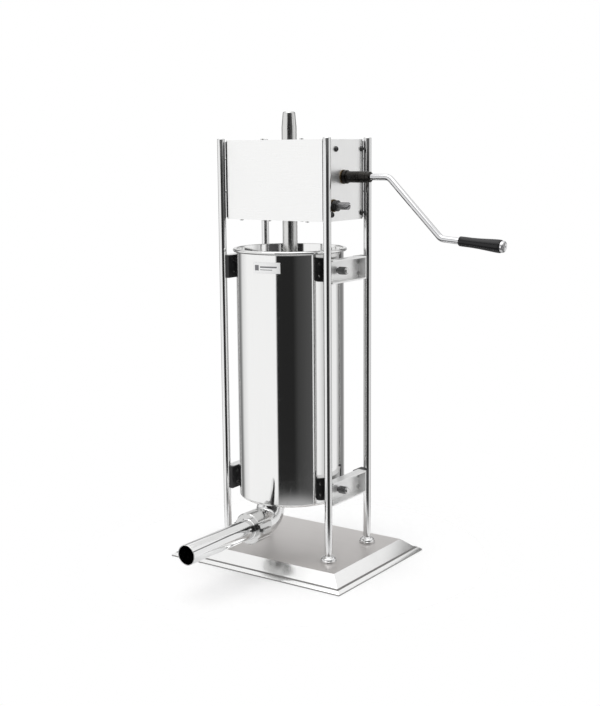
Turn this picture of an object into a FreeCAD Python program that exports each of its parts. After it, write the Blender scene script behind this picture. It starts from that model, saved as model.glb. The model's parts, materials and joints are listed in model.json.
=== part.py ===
"""Vertical hand-cranked sausage stuffer, modelled as separate solids in millimetres.

+Z is up, -Y is the side of the filling tube, +X is the side of the crank.
The origin is the centre of the base, on the surface that the base stands on.
"""
import FreeCAD, Part
import math
import os

V = FreeCAD.Vector
X_AXIS, Y_AXIS, Z_AXIS = V(1, 0, 0), V(0, 1, 0), V(0, 0, 1)

# ---- clearances and small shared sizes -----------------------------------------------------
RUN_FIT = 0.06            # radial clearance of a running fit
PLAY = 0.3                # gap between pieces that pass each other
SCREW_FIT = 0.15          # radial clearance of a screw in its through hole
SEAT_FIT = 0.05           # radial clearance of a piece that sits in a hole of its own size
REACH = 1.0               # how far a cutting shape runs past the face it opens
THREAD_SPARE = 1.5        # how far a sheet screw stands out past its last thread

# ---- cylinder: its radius and height drive the width and height of the machine --------------
CYL_Y = -11.1
CYL_R = 71.0
CYL_WALL = 1.0
CYL_FLOOR = 1.5
CYL_BOTTOM_Z = 88.5
CYL_H = 334.7
CYL_TOP_Z = CYL_BOTTOM_Z + CYL_H
CYL_EDGE_R = 4.0
RIM_BEAD_R = 2.3
RIM_BEAD_SINK = 0.4       # how far the bead's circle lies inside the wall's outer face

# ---- posts ---------------------------------------------------------------------------------
POST_R = 5.0
POST_GAP = 7.4            # between the cylinder's side and a post's surface, along X
POST_X = CYL_R + POST_GAP + POST_R
POST_Y = 47.7
POST_PROUD = 2.2          # above the housing
POST_CHAMFER = 0.8
POST_SPIGOT_R = 3.0
POST_SPIGOT_LEN = 10.0
COLLAR_R = 10.5
COLLAR_H = 8.5
COLLAR_BAND_H = 3.8       # height of its straight band
COLLAR_NECK_R = 8.3
COLLAR_NECK_H = 6.8
COLLAR_TOP_R = 6.2
POST_NUT_AF = 10.0
POST_NUT_H = 4.5

# ---- base ----------------------------------------------------------------------------------
BASE_TOP_HALF_X = POST_X + 31.6
BASE_TOP_HALF_Y = 83.5
BASE_TOP_Z = 18.0
BASE_CREASE_Z = 5.5
BASE_LIP_Z = 0.0          # underside of the lip
BEVEL_UPPER = 14.6        # horizontal width of the upper bevel
BEVEL_LOWER = 7.7         # horizontal width of the lower bevel
BASE_SHEET = 1.5
FOOT_R = 11.0
FOOT_INSET = 20.0         # from the edge of the flat top to a foot's centre
FOOT_FLANGE = 3.0
FOOT_TAPER = 1.5          # a foot is this much slimmer at the floor
FOOT_SCREW_R = 2.0
FOOT_SCREW_HEAD_R = 4.0
FOOT_SCREW_HEAD_H = 2.0

# ---- gear housing --------------------------------------------------------------------------
HOUSE_BOTTOM_Z = CYL_TOP_Z + 36.9
HOUSE_H = 102.3
HOUSE_TOP_Z = HOUSE_BOTTOM_Z + HOUSE_H
POST_TOP_Z = HOUSE_TOP_Z + POST_PROUD
HOUSE_HALF_X = POST_X - 3.4   # outer face of the side plates
HOUSE_HALF_Y = 45.5       # outer face of the front and rear covers
COVER_HALF_X = HOUSE_HALF_X - 5.0   # half width of the front and rear covers
SIDE_HALF_Y = 41.0        # half depth of the side plates
HOUSE_SHEET = 2.0
FLANGE_H = 12.5
TOP_FLANGE_H = 15.5
FLANGE_HALF_Y = 34.5
SIDE_SCREW_R = 2.0
SIDE_SCREW_HEAD_R = 3.5
SIDE_SCREW_HEAD_H = 2.6
SIDE_SCREW_ROUND = 1.0    # rounding of a head's rim
SIDE_SCREW_SOCKET_R = 1.8
SIDE_SCREW_SOCKET_DEPTH = 1.5
SIDE_SCREW_IN = 10.0      # reach behind the plate's inner face
SIDE_SCREW_INSET_TOP = 12.2
SIDE_SCREW_INSET_BOTTOM = 8.4
SIDE_SCREW_Y_TOP = -22.5
SIDE_SCREW_Y_BOTTOM = -32.0
SIDE_SCREW_Y_REAR = 37.6
COLUMN_SCREW_R = 1.5
COLUMN_SCREW_HEAD_R = 2.7
COLUMN_SCREW_HEAD_H = 2.2
COLUMN_SCREW_IN_POST = 1.0  # where the screw's tip lies, from the post's axis
COLUMN_ALONG_COVER = 9.0  # the column's face on a cover
COLUMN_ALONG_SIDE = 6.0   # and on a side plate
COLUMN_SADDLE = 2.0       # how far its saddle reaches towards the post
COLUMN_SCREW_REACH = 17.0   # from the post's centre to the head
COLUMN_SCREW_LOW = 34.0     # above the housing's floor
COLUMN_SCREW_HIGH = 22.0    # below its roof
COVER_SCREW_R = 1.25
COVER_SCREW_HEAD_R = 2.5
COVER_SCREW_HEAD_H = 1.6
COVER_SCREW_X = (-57.0, -12.0, 48.0)
COVER_SCREW_INSET = 5.5   # from the outer face of a cover
COVER_FLANGE = 9.0
COVER_LIP_INSET = 12.0    # a cover's lips stop this short of its ends

# ---- gear train ----------------------------------------------------------------------------
PRESSURE_ANGLE = math.radians(25.0)
ADDENDUM = 0.8            # in modules
DEDENDUM = 1.05           # in modules
BACKLASH = 0.16           # taken off each tooth's thickness on the pitch line
GEAR_MODULE = 1.5
RACK_MODULE = 2.0
RACK_PINION_TEETH = 12
CRANK_PINION_TEETH = 12
SLOW_TEETH = 29
FAST_PINION_TEETH = 18
FAST_TEETH = SLOW_TEETH + 2   # the fast gear passes beside the crank shaft
CRANK_Y = -4.9
CRANK_Z = HOUSE_TOP_Z - 47.1
FAST_ANGLE = math.radians(-168.4)   # direction of the fast shaft from the pinion shaft
SHAFT_R = 5.0
CRANK_SHAFT_R = 6.0
RACK_PINION_W = 16.0
GEAR_W = 9.0
SLOW_X = 60.0             # left face of the slow train
FAST_X = 40.0             # left face of the fast train
BRACKET_X = 20.0          # inner face of each bearing bracket
BRACKET_T = 5.0
BRACKET_FOOT = 12.0
BRACKET_FOOT_T = 3.0
BRACKET_HALF_Y = 33.0
BRACKET_SCREW_Y = 27.0
BUSH_WALL = 2.0
BUSH_FLANGE = 1.0         # how far the flange stands out past the bush
BUSH_FLANGE_T = 1.5
BOSS_R = 9.0
BOSS_LEN = 7.0
SHAFT_END_GAP = 0.5
PINION_SHOULDER = 1.0     # a driving pinion is this much wider than its gear, at each side
FAST_STUB_LEN = 23.0      # length of the fast shaft outside the housing
FAST_STUB_R = 4.6
FAST_COLLAR_R = 7.0
FAST_COLLAR_LEN = 6.0

# ---- crank and grip ------------------------------------------------------------------------
HUB_START_X = HOUSE_HALF_X + 2.2
HUB_R = 7.2
HUB_LEN = 38.8
HUB_COLLAR_R = 8.6
HUB_COLLAR_LEN = 4.5
SHAFT_IN_HUB = 20.0
CRANK_ROD_R = 4.0
CRANK_BEND_1_X = HOUSE_HALF_X + 67.0
CRANK_BEND_2_X = CRANK_BEND_1_X + 74.0
CRANK_THROW = 73.6
CRANK_BEND_R = 11.0
GRIP_DROOP = math.radians(4.5)
GRIP_START = 25.0         # from the second bend to the grip, along the rod
GRIP_LEN = 55.0
GRIP_R_INNER = 6.0
GRIP_R_WAIST = 6.5
GRIP_R_OUTER = 8.0
GRIP_ROUND = 1.2          # rounding at the inner end, and of the cap
GRIP_SWELL_END = 4.0      # the grip is widest this far from its free end
GRIP_END_ROUND = 0.4
GRIP_CAP_LEN = 4.2
GRIP_CAP_R = 7.2
GRIP_CAP_FACE_R = 5.4
GRIP_PIN_R = 3.0
PIN_IN_CAP = 2.1
SET_SCREW_R = 2.5
SET_SCREW_X = 11.0        # from the start of the hub
SET_SCREW_PROUD = 0.3

# ---- rack and piston -----------------------------------------------------------------------
ROD_Y = -10.4
ROD_R = 9.73
ROD_TOP_Z = HOUSE_TOP_Z + 36.1
RACK_PITCH_OUT = 6.0      # the rack's pitch line lies this far behind the rod's axis
ROD_CONE_LEN = 20.0
ROD_CONE_R = 7.9
ROD_NOSE_R = 2.6
RACK_TOP_MARGIN = 24.0
RACK_BOTTOM_MARGIN = 40.0
PISTON_T = 9.0
PISTON_GAP = 2.0          # above the cylinder's floor when it is down
SEAL_T = 6.0
SEAL_DEPTH = 4.0
SEAL_GAP = 0.08
PISTON_RIM_GAP = 1.2
ROD_SPIGOT_R = 5.0
PISTON_NUT_AF = 17.0
PISTON_NUT_H = 4.0
PISTON_NUT_INSET = 1.0    # above the underside of the piston
PISTON_NUT_POCKET_R = 11.2
VALVE_OFFSET = 38.0
VALVE_STEM_R = 3.0
VALVE_STEM_GAP = 0.1
VALVE_HEAD_R = 7.5
VALVE_HEAD_H = 2.0
VALVE_POCKET_H = 2.5
VALVE_KNOB_R = 5.5
VALVE_KNOB_H = 4.0
VALVE_TRAVEL = 3.0
VALVE_KNOB_GAP = 0.2      # left under the knob after its travel
GUIDE_WALL = 4.0
GUIDE_IN = 6.0            # how far a guide reaches into the housing
GUIDE_FLANGE = 3.0
GUIDE_T = 2.5
PAD_HALF_H = 14.0
PAD_BACK = 8.0            # depth of the pad in front of the rod
PAD_LAP = 2.0             # the pad stops this far in front of the rod's axis

# ---- outlet --------------------------------------------------------------------------------
OUTLET_Y = -60.0
OUTLET_R = 18.5
OUTLET_WALL = 1.5
OUTLET_BEND_R = OUTLET_R + 3.5
OUTLET_DROP = 2.0         # straight piece between the cylinder and the bend
OUTLET_Z = CYL_BOTTOM_Z - OUTLET_DROP - OUTLET_BEND_R
OUTLET_FACE_Y = -99.0     # end face of the elbow's threaded end
NUT_R = OUTLET_R + 2.3
NUT_BACK_Y = -85.0
NUT_LEN = 27.0
NUT_CHAMFER = 1.2
NUT_FLUTES = 6
FLUTE_R = 3.4
FLUTE_OUT = 2.2           # a flute's axis lies this far outside the nut
NUT_WING = 5.0
NUT_WING_W = 6.0
NUT_WING_LEN = 14.0
NUT_WING_INSET = 4.0      # from the nut's front face
NOZZLE_R = 13.0
NOZZLE_WALL = 1.0
NOZZLE_END_Y = -235.0
NOZZLE_FLANGE_R = OUTLET_R - 0.4
NOZZLE_FLANGE_T = 2.0
NOZZLE_ROOT_R = 14.0      # thicker root inside the nut
NOZZLE_ROOT_OUT = 0.4     # how far the root shows past the nut
NOZZLE_SEAL_T = 1.6

# ---- cylinder brackets ---------------------------------------------------------------------
RAIL_H = 30.0
RAIL_LOW_Z = CYL_BOTTOM_Z + 4.0
RAIL_HIGH_Z = CYL_TOP_Z - 41.2
RAIL_X = CYL_R + 4.8      # inner face of the rail's web
RAIL_SHEET = 2.0
RAIL_OUT_X = RAIL_X + 12.8  # outer edge of the rail's flanges
RAIL_REAR_Y = 37.0        # the rear end stops short of the post, the front end reaches it
BLOCK_T = 2.6             # thickness of a nylon block along the rail
BLOCK_IN_Y = 28.0
BLOCK_OUT_Y = 49.0
BLOCK_SADDLE = 2.0        # how far the saddle stays short of the post's axis
BLOCK_COVER = 0.6         # how far the rear block laps the post
HOOK_T = 0.8              # thickness of the hooked front block where it passes the rail's end
HOOK_DEPTH = 1.6          # how far it reaches past the rail's end, towards the post
RAIL_SCREW_R = 1.6
RAIL_SCREW_HEAD_R = 3.0
RAIL_SCREW_HEAD_H = 1.8
RAIL_SCREW_FRONT_Y = -37.5
RAIL_SCREW_REAR_Y = 31.5
RAIL_SCREW_DZ = 7.5
LOCK_Y = -16.0
LOCK_R = 3.0
LOCK_HEAD_R = 5.0
LOCK_HEAD_IN_X = RAIL_X + 4.8
LOCK_HEAD_LEN = 13.4
LOCK_CHAMFER = 0.8
LOCK_TIP_GAP = 0.2
SOCKET_R = 6.5

# ---- plain plate on the cylinder -----------------------------------------------------------
PLATE_ANGLE = math.radians(-80.0)
PLATE_Z = CYL_TOP_Z - 21.0
PLATE_W = 38.0
PLATE_H = 14.0
PLATE_T = 0.5


# ============================================================================================
# helpers
# ============================================================================================
def box(x0, x1, y0, y1, z0, z1):
    """Box between two corners."""
    return Part.makeBox(x1 - x0, y1 - y0, z1 - z0, V(x0, y0, z0))


def rod_x(r, x0, x1, y, z):
    """Cylinder along X."""
    return Part.makeCylinder(r, x1 - x0, V(x0, y, z), X_AXIS)


def rod_y(r, y0, y1, x, z):
    """Cylinder along Y."""
    return Part.makeCylinder(r, y1 - y0, V(x, y0, z), Y_AXIS)


def rod_z(r, z0, z1, x, y):
    """Cylinder along Z."""
    return Part.makeCylinder(r, z1 - z0, V(x, y, z0), Z_AXIS)


def ring_z(r_out, r_in, z0, z1, x, y):
    """Tube along Z."""
    return rod_z(r_out, z0, z1, x, y).cut(rod_z(r_in, z0, z1, x, y))


def polygon_prism(points, direction):
    """Closed polygon extruded along a vector."""
    wire = Part.makePolygon(list(points) + [points[0]])
    return Part.Face(wire).extrude(direction)


def hexagon(across_flats, x, y, z, height):
    """Hexagonal prism that stands along Z."""
    r = across_flats / math.sqrt(3.0)
    points = [V(x + r * math.cos(math.radians(60 * i)), y + r * math.sin(math.radians(60 * i)), z)
              for i in range(6)]
    return polygon_prism(points, V(0, 0, height))


def revolve_profile(points, base, axis):
    """Full turn of a closed polygon about an axis."""
    wire = Part.makePolygon(list(points) + [points[0]])
    return Part.Face(wire).revolve(base, axis, 360)


def mirror_x(shape):
    """Mirror image on the other side of the YZ plane."""
    return shape.mirror(V(0, 0, 0), X_AXIS)


def mirror_y(shape):
    """Mirror image on the other side of the XZ plane."""
    return shape.mirror(V(0, 0, 0), Y_AXIS)


def export(name, *shapes):
    """Write one node; several solids share a node as a group."""
    shape = shapes[0] if len(shapes) == 1 else Part.makeCompound(list(shapes))
    shape.exportStep("parts/%s.step" % name)
    print(name, len(shape.Solids), round(shape.Volume, 1), shape.isValid())


def round_edges(solid, **level):
    """Circular edges of a solid, those with their centre at a level such as z=12 if one is given."""
    return [e for e in solid.Edges if len(e.Vertexes) == 1
            and all(abs(getattr(e.CenterOfMass, axis) - value) < PLAY for axis, value in level.items())]


def post_places():
    """Name and centre of each post."""
    for side, sx in (("left", -1), ("right", 1)):
        for end, sy in (("front", -1), ("rear", 1)):
            yield end + "_" + side, sx * POST_X, sy * POST_Y


def foot_places():
    """Centres of the rubber feet."""
    for sx in (-1, 1):
        for sy in (-1, 1):
            yield sx * (BASE_TOP_HALF_X - FOOT_INSET), sy * (BASE_TOP_HALF_Y - FOOT_INSET)


# ============================================================================================
# gear teeth
# ============================================================================================
def involute(base_r, r):
    """Polar angle of the involute at radius r, from its start on the base circle."""
    t = math.sqrt(max((r / base_r) ** 2 - 1.0, 0.0))
    return t - math.atan(t)


def gear_outline(module, teeth, phase):
    """Closed outline of a spur gear; a tooth is centred on the angle phase."""
    pitch_r = module * teeth / 2.0
    base_r = pitch_r * math.cos(PRESSURE_ANGLE)
    tip_r = pitch_r + ADDENDUM * module
    root_r = pitch_r - DEDENDUM * module
    half_pitch = (math.pi * module / 2.0 - BACKLASH) / 2.0 / pitch_r
    start_r = max(base_r, root_r)
    steps = 5
    flank = []
    for i in range(steps + 1):
        r = start_r + (tip_r - start_r) * i / steps
        flank.append((r, half_pitch + involute(base_r, pitch_r) - involute(base_r, r)))
    if root_r < start_r:
        flank.insert(0, (root_r, flank[0][1]))
    points = []
    for k in range(teeth):
        centre = phase + 2.0 * math.pi * k / teeth
        for r, a in flank:
            points.append((r * math.cos(centre - a), r * math.sin(centre - a)))
        for r, a in reversed(flank):
            points.append((r * math.cos(centre + a), r * math.sin(centre + a)))
    return points


def gear_x(module, teeth, phase, x0, width, y, z, bore_r):
    """Spur gear with its axis along X; phase is measured from +Y towards +Z."""
    points = [V(x0, y + a, z + b) for a, b in gear_outline(module, teeth, phase)]
    return polygon_prism(points, V(width, 0, 0)).cut(rod_x(bore_r, x0, x0 + width, y, z))


def mesh_phase(driver_phase, driver_teeth, driven_teeth, direction):
    """Phase of the gear met at the angle direction from the first gear's centre."""
    turned = (direction - driver_phase) * driver_teeth
    return direction + math.pi + turned / driven_teeth + math.pi / driven_teeth


CRANK_PITCH_R = GEAR_MODULE * CRANK_PINION_TEETH / 2.0
SLOW_PITCH_R = GEAR_MODULE * SLOW_TEETH / 2.0
FAST_PINION_PITCH_R = GEAR_MODULE * FAST_PINION_TEETH / 2.0
FAST_PITCH_R = GEAR_MODULE * FAST_TEETH / 2.0
RACK_PINION_PITCH_R = RACK_MODULE * RACK_PINION_TEETH / 2.0

# the pinion shaft sits where the rack and the slow pair mesh, the fast shaft where the fast pair does
RACK_PITCH_Y = ROD_Y + RACK_PITCH_OUT
PINION_Y = RACK_PITCH_Y + RACK_PINION_PITCH_R
PINION_Z = CRANK_Z - math.sqrt((CRANK_PITCH_R + SLOW_PITCH_R) ** 2 - (PINION_Y - CRANK_Y) ** 2)
FAST_DISTANCE = FAST_PINION_PITCH_R + FAST_PITCH_R
FAST_Y = PINION_Y + FAST_DISTANCE * math.cos(FAST_ANGLE)
FAST_Z = PINION_Z + FAST_DISTANCE * math.sin(FAST_ANGLE)

# derived heights and faces
HOUSE_IN_BOTTOM = HOUSE_BOTTOM_Z + HOUSE_SHEET
HOUSE_IN_TOP = HOUSE_TOP_Z - HOUSE_SHEET
SIDE_IN_X = HOUSE_HALF_X - HOUSE_SHEET
COVER_IN_Y = HOUSE_HALF_Y - HOUSE_SHEET
CYL_FLOOR_Z = CYL_BOTTOM_Z + CYL_FLOOR
PISTON_Z = CYL_FLOOR_Z + PISTON_GAP
PISTON_TOP_Z = PISTON_Z + PISTON_T
PISTON_NUT_Z = PISTON_Z + PISTON_NUT_INSET
RAIL_FRONT_Y = -(POST_Y - POST_R - PLAY)
RAIL_LEVELS = (("lower", RAIL_LOW_Z), ("upper", RAIL_HIGH_Z))


# ============================================================================================
# base
# ============================================================================================
def frustum(half_x0, half_y0, z0, half_x1, half_y1, z1):
    """Solid between two rectangles, the lower and the upper."""
    def wire(hx, hy, z):
        corners = [V(-hx, -hy, z), V(hx, -hy, z), V(hx, hy, z), V(-hx, hy, z)]
        return Part.makePolygon(corners + [corners[0]])
    return Part.makeLoft([wire(half_x0, half_y0, z0), wire(half_x1, half_y1, z1)], True, True)


def base_shell(offset):
    """Outer shape of the base, drawn in by the offset."""
    hx, hy = BASE_TOP_HALF_X - offset, BASE_TOP_HALF_Y - offset
    mx, my = hx + BEVEL_UPPER, hy + BEVEL_UPPER
    lx, ly = mx + BEVEL_LOWER, my + BEVEL_LOWER
    upper = frustum(mx, my, BASE_CREASE_Z - offset, hx, hy, BASE_TOP_Z - offset)
    lower_z = BASE_LIP_Z - offset
    return upper.fuse(frustum(lx, ly, lower_z, mx, my, BASE_CREASE_Z - offset)).removeSplitter()


def make_base():
    """Pressed sheet tray, open underneath, with its middle pad, feet and screws."""
    tray = base_shell(0.0).cut(base_shell(BASE_SHEET))
    for _, x, y in post_places():
        tray = tray.cut(rod_z(POST_SPIGOT_R + SCREW_FIT, 0, BASE_TOP_Z, x, y))
    feet, screws = [], []
    seat_z = BASE_TOP_Z - BASE_SHEET
    for x, y in foot_places():
        tray = tray.cut(rod_z(FOOT_SCREW_R + SCREW_FIT, 0, BASE_TOP_Z + REACH, x, y))
        foot = Part.makeCone(FOOT_R - FOOT_TAPER, FOOT_R, seat_z, V(x, y, 0), Z_AXIS)
        recess = rod_z(FOOT_SCREW_HEAD_R + PLAY, 0, seat_z - FOOT_FLANGE, x, y)
        through = rod_z(FOOT_SCREW_R + SCREW_FIT, 0, seat_z, x, y)
        feet.append(foot.cut(recess).cut(through))
        head_z = seat_z - FOOT_FLANGE
        head = rod_z(FOOT_SCREW_HEAD_R, head_z - FOOT_SCREW_HEAD_H, head_z, x, y)
        screws.append(head.fuse(rod_z(FOOT_SCREW_R, head_z, BASE_TOP_Z - PLAY, x, y)))
    export("base_plate", tray)
    export("rubber_feet", *feet)
    export("foot_screws", *screws)


# ============================================================================================
# posts
# ============================================================================================
def post_screw_heights():
    """Heights of the screws that hold each post to its corner column."""
    return HOUSE_IN_BOTTOM + COLUMN_SCREW_LOW, HOUSE_IN_TOP - COLUMN_SCREW_HIGH


def post_screw(sx, sy, z, radius, start, end):
    """Cylinder from a post's axis between the corners of the covers to the housing's inside."""
    middle_x, middle_y = (COVER_HALF_X + SIDE_IN_X) / 2.0, (COVER_IN_Y + SIDE_HALF_Y) / 2.0
    inward = V(sx * (middle_x - POST_X), sy * (middle_y - POST_Y), 0).normalize()
    return Part.makeCylinder(radius, end - start, V(sx * POST_X, sy * POST_Y, z) + inward * start, inward)


def make_posts():
    """Four round posts with turned collars, nuts under the base and their clamp screws."""
    posts = {"front": [], "rear": []}
    collars, nuts, columns, screws = [], [], [], []
    nut_z = BASE_TOP_Z - BASE_SHEET - POST_NUT_H
    for name, x, y in post_places():
        sx, sy = math.copysign(1, x), math.copysign(1, y)
        post = rod_z(POST_R, BASE_TOP_Z, POST_TOP_Z, x, y)
        post = post.makeChamfer(POST_CHAMFER, round_edges(post, z=POST_TOP_Z))
        post = post.fuse(rod_z(POST_SPIGOT_R, BASE_TOP_Z - POST_SPIGOT_LEN, BASE_TOP_Z, x, y))
        for z in post_screw_heights():
            post = post.cut(post_screw(sx, sy, z, COLUMN_SCREW_R, 0, POST_R + REACH))
        posts[name.split("_")[0]].append(post)
        profile = [V(POST_R + RUN_FIT, 0, 0), V(COLLAR_R, 0, 0), V(COLLAR_R, 0, COLLAR_BAND_H),
                   V(COLLAR_NECK_R, 0, COLLAR_NECK_H), V(COLLAR_TOP_R, 0, COLLAR_H),
                   V(POST_R + RUN_FIT, 0, COLLAR_H)]
        collar = revolve_profile(profile, V(0, 0, 0), Z_AXIS)
        collars.append(collar.translated(V(x, y, BASE_TOP_Z)))
        nuts.append(hexagon(POST_NUT_AF, x, y, nut_z, POST_NUT_H).cut(
            rod_z(POST_SPIGOT_R, nut_z, nut_z + POST_NUT_H, x, y)))
        columns.append(corner_column(sx, sy))
        for z in post_screw_heights():
            shank = post_screw(sx, sy, z, COLUMN_SCREW_R, COLUMN_SCREW_IN_POST, COLUMN_SCREW_REACH)
            head = post_screw(sx, sy, z, COLUMN_SCREW_HEAD_R, COLUMN_SCREW_REACH,
                              COLUMN_SCREW_REACH + COLUMN_SCREW_HEAD_H)
            screws.append(shank.fuse(head))
    export("posts_front", *posts["front"])
    export("posts_rear", *posts["rear"])
    export("post_collars", *collars)
    export("post_nuts", *nuts)
    export("corner_columns", *columns)
    export("column_screws", *screws)


def corner_column(sx, sy):
    """Bar inside a corner of the housing, hollowed on the outside to seat the post."""
    z0, z1 = HOUSE_IN_BOTTOM, HOUSE_IN_TOP
    cover_end = (COVER_HALF_X, COVER_IN_Y)
    side_end = (SIDE_IN_X, SIDE_HALF_Y)
    # the slanting face between the two sheets reaches out to the post's surface
    steps = [(COVER_HALF_X - COLUMN_ALONG_COVER, COVER_IN_Y), cover_end,
             (cover_end[0] + COLUMN_SADDLE, cover_end[1] + COLUMN_SADDLE),
             (side_end[0] + COLUMN_SADDLE, side_end[1] + COLUMN_SADDLE), side_end,
             (SIDE_IN_X, SIDE_HALF_Y - COLUMN_ALONG_SIDE),
             (SIDE_IN_X - COLUMN_ALONG_SIDE, SIDE_HALF_Y - COLUMN_ALONG_SIDE)]
    bar = polygon_prism([V(sx * x, sy * y, z0) for x, y in steps], V(0, 0, z1 - z0))
    bar = bar.cut(rod_z(POST_R, z0, z1, sx * POST_X, sy * POST_Y))
    for z in post_screw_heights():
        bar = bar.cut(post_screw(sx, sy, z, COLUMN_SCREW_R + SCREW_FIT, 0, 2 * COLUMN_SCREW_REACH))
        bar = bar.cut(post_screw(sx, sy, z, COLUMN_SCREW_HEAD_R + SCREW_FIT, COLUMN_SCREW_REACH,
                                 2 * COLUMN_SCREW_REACH))
    if sy > 0:
        for z in side_screw_heights():
            hole = rod_x(SIDE_SCREW_R, SIDE_IN_X - SIDE_SCREW_IN, SIDE_IN_X + REACH, SIDE_SCREW_Y_REAR, z)
            bar = bar.cut(hole if sx > 0 else mirror_x(hole))
    return bar


# ============================================================================================
# housing
# ============================================================================================
def side_screw_heights():
    """Lower and upper height of the screws in the side plates."""
    return HOUSE_BOTTOM_Z + SIDE_SCREW_INSET_BOTTOM, HOUSE_TOP_Z - SIDE_SCREW_INSET_TOP


def side_screw_places():
    """(y, z) of the screws in one side plate."""
    low, high = side_screw_heights()
    return ((SIDE_SCREW_Y_BOTTOM, low), (SIDE_SCREW_Y_TOP, high),
            (SIDE_SCREW_Y_REAR, low), (SIDE_SCREW_Y_REAR, high))


def make_side_plates():
    """Left and right side plates; the right one carries the shafts' bushes."""
    z0, z1 = HOUSE_BOTTOM_Z, HOUSE_TOP_Z
    plate = box(SIDE_IN_X, HOUSE_HALF_X, -SIDE_HALF_Y, SIDE_HALF_Y, z0, z1)
    for y, z in side_screw_places():
        plate = plate.cut(rod_x(SIDE_SCREW_R + SCREW_FIT, SIDE_IN_X, HOUSE_HALF_X, y, z))
    left = mirror_x(plate)
    right = plate.cut(rod_x(CRANK_SHAFT_R + BUSH_WALL, SIDE_IN_X, HOUSE_HALF_X, CRANK_Y, CRANK_Z))
    right = right.cut(rod_x(SHAFT_R + BUSH_WALL, SIDE_IN_X, HOUSE_HALF_X, FAST_Y, FAST_Z))
    boss = rod_x(BOSS_R, SIDE_IN_X - BOSS_LEN, SIDE_IN_X, PINION_Y, PINION_Z)
    boss = boss.cut(rod_x(SHAFT_R + BUSH_WALL, SIDE_IN_X - BOSS_LEN, SIDE_IN_X, PINION_Y, PINION_Z))
    export("side_plate_left", left)
    export("side_plate_right", right.fuse(boss).removeSplitter())
    screws = []
    for y, z in side_screw_places():
        head = rod_x(SIDE_SCREW_HEAD_R, HOUSE_HALF_X, HOUSE_HALF_X + SIDE_SCREW_HEAD_H, y, z)
        top_x = HOUSE_HALF_X + SIDE_SCREW_HEAD_H
        head = head.makeFillet(SIDE_SCREW_ROUND, round_edges(head, x=top_x))
        socket = rod_x(SIDE_SCREW_SOCKET_R, top_x - SIDE_SCREW_SOCKET_DEPTH, top_x, y, z)
        shank = rod_x(SIDE_SCREW_R, SIDE_IN_X - SIDE_SCREW_IN + REACH, HOUSE_HALF_X, y, z)
        screw = head.cut(socket).fuse(shank)
        screws += [screw, mirror_x(screw)]
    export("side_screws", *screws)


def plate_profile(z_plate, z_flange):
    """Top or bottom plate of the housing with its two turned flanges."""
    low, high = sorted((z_plate, z_plate + math.copysign(HOUSE_SHEET, z_flange - z_plate)))
    plate = box(-COVER_HALF_X, COVER_HALF_X, -COVER_IN_Y, COVER_IN_Y, low, high)
    ends = box(-SIDE_IN_X, SIDE_IN_X, -FLANGE_HALF_Y, FLANGE_HALF_Y, low, high)
    f_low, f_high = sorted((z_plate, z_flange))
    flange = box(SIDE_IN_X - HOUSE_SHEET, SIDE_IN_X, -FLANGE_HALF_Y, FLANGE_HALF_Y, f_low, f_high)
    return plate.fuse([ends, flange, mirror_x(flange)]).removeSplitter()


def bracket_screw_places():
    """(x, y) of the screws in the feet of the bearing brackets."""
    x = BRACKET_X + BRACKET_T + BRACKET_FOOT / 2.0
    return [(sx * x, sy * BRACKET_SCREW_Y) for sx in (-1, 1) for sy in (-1, 1)]


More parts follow.
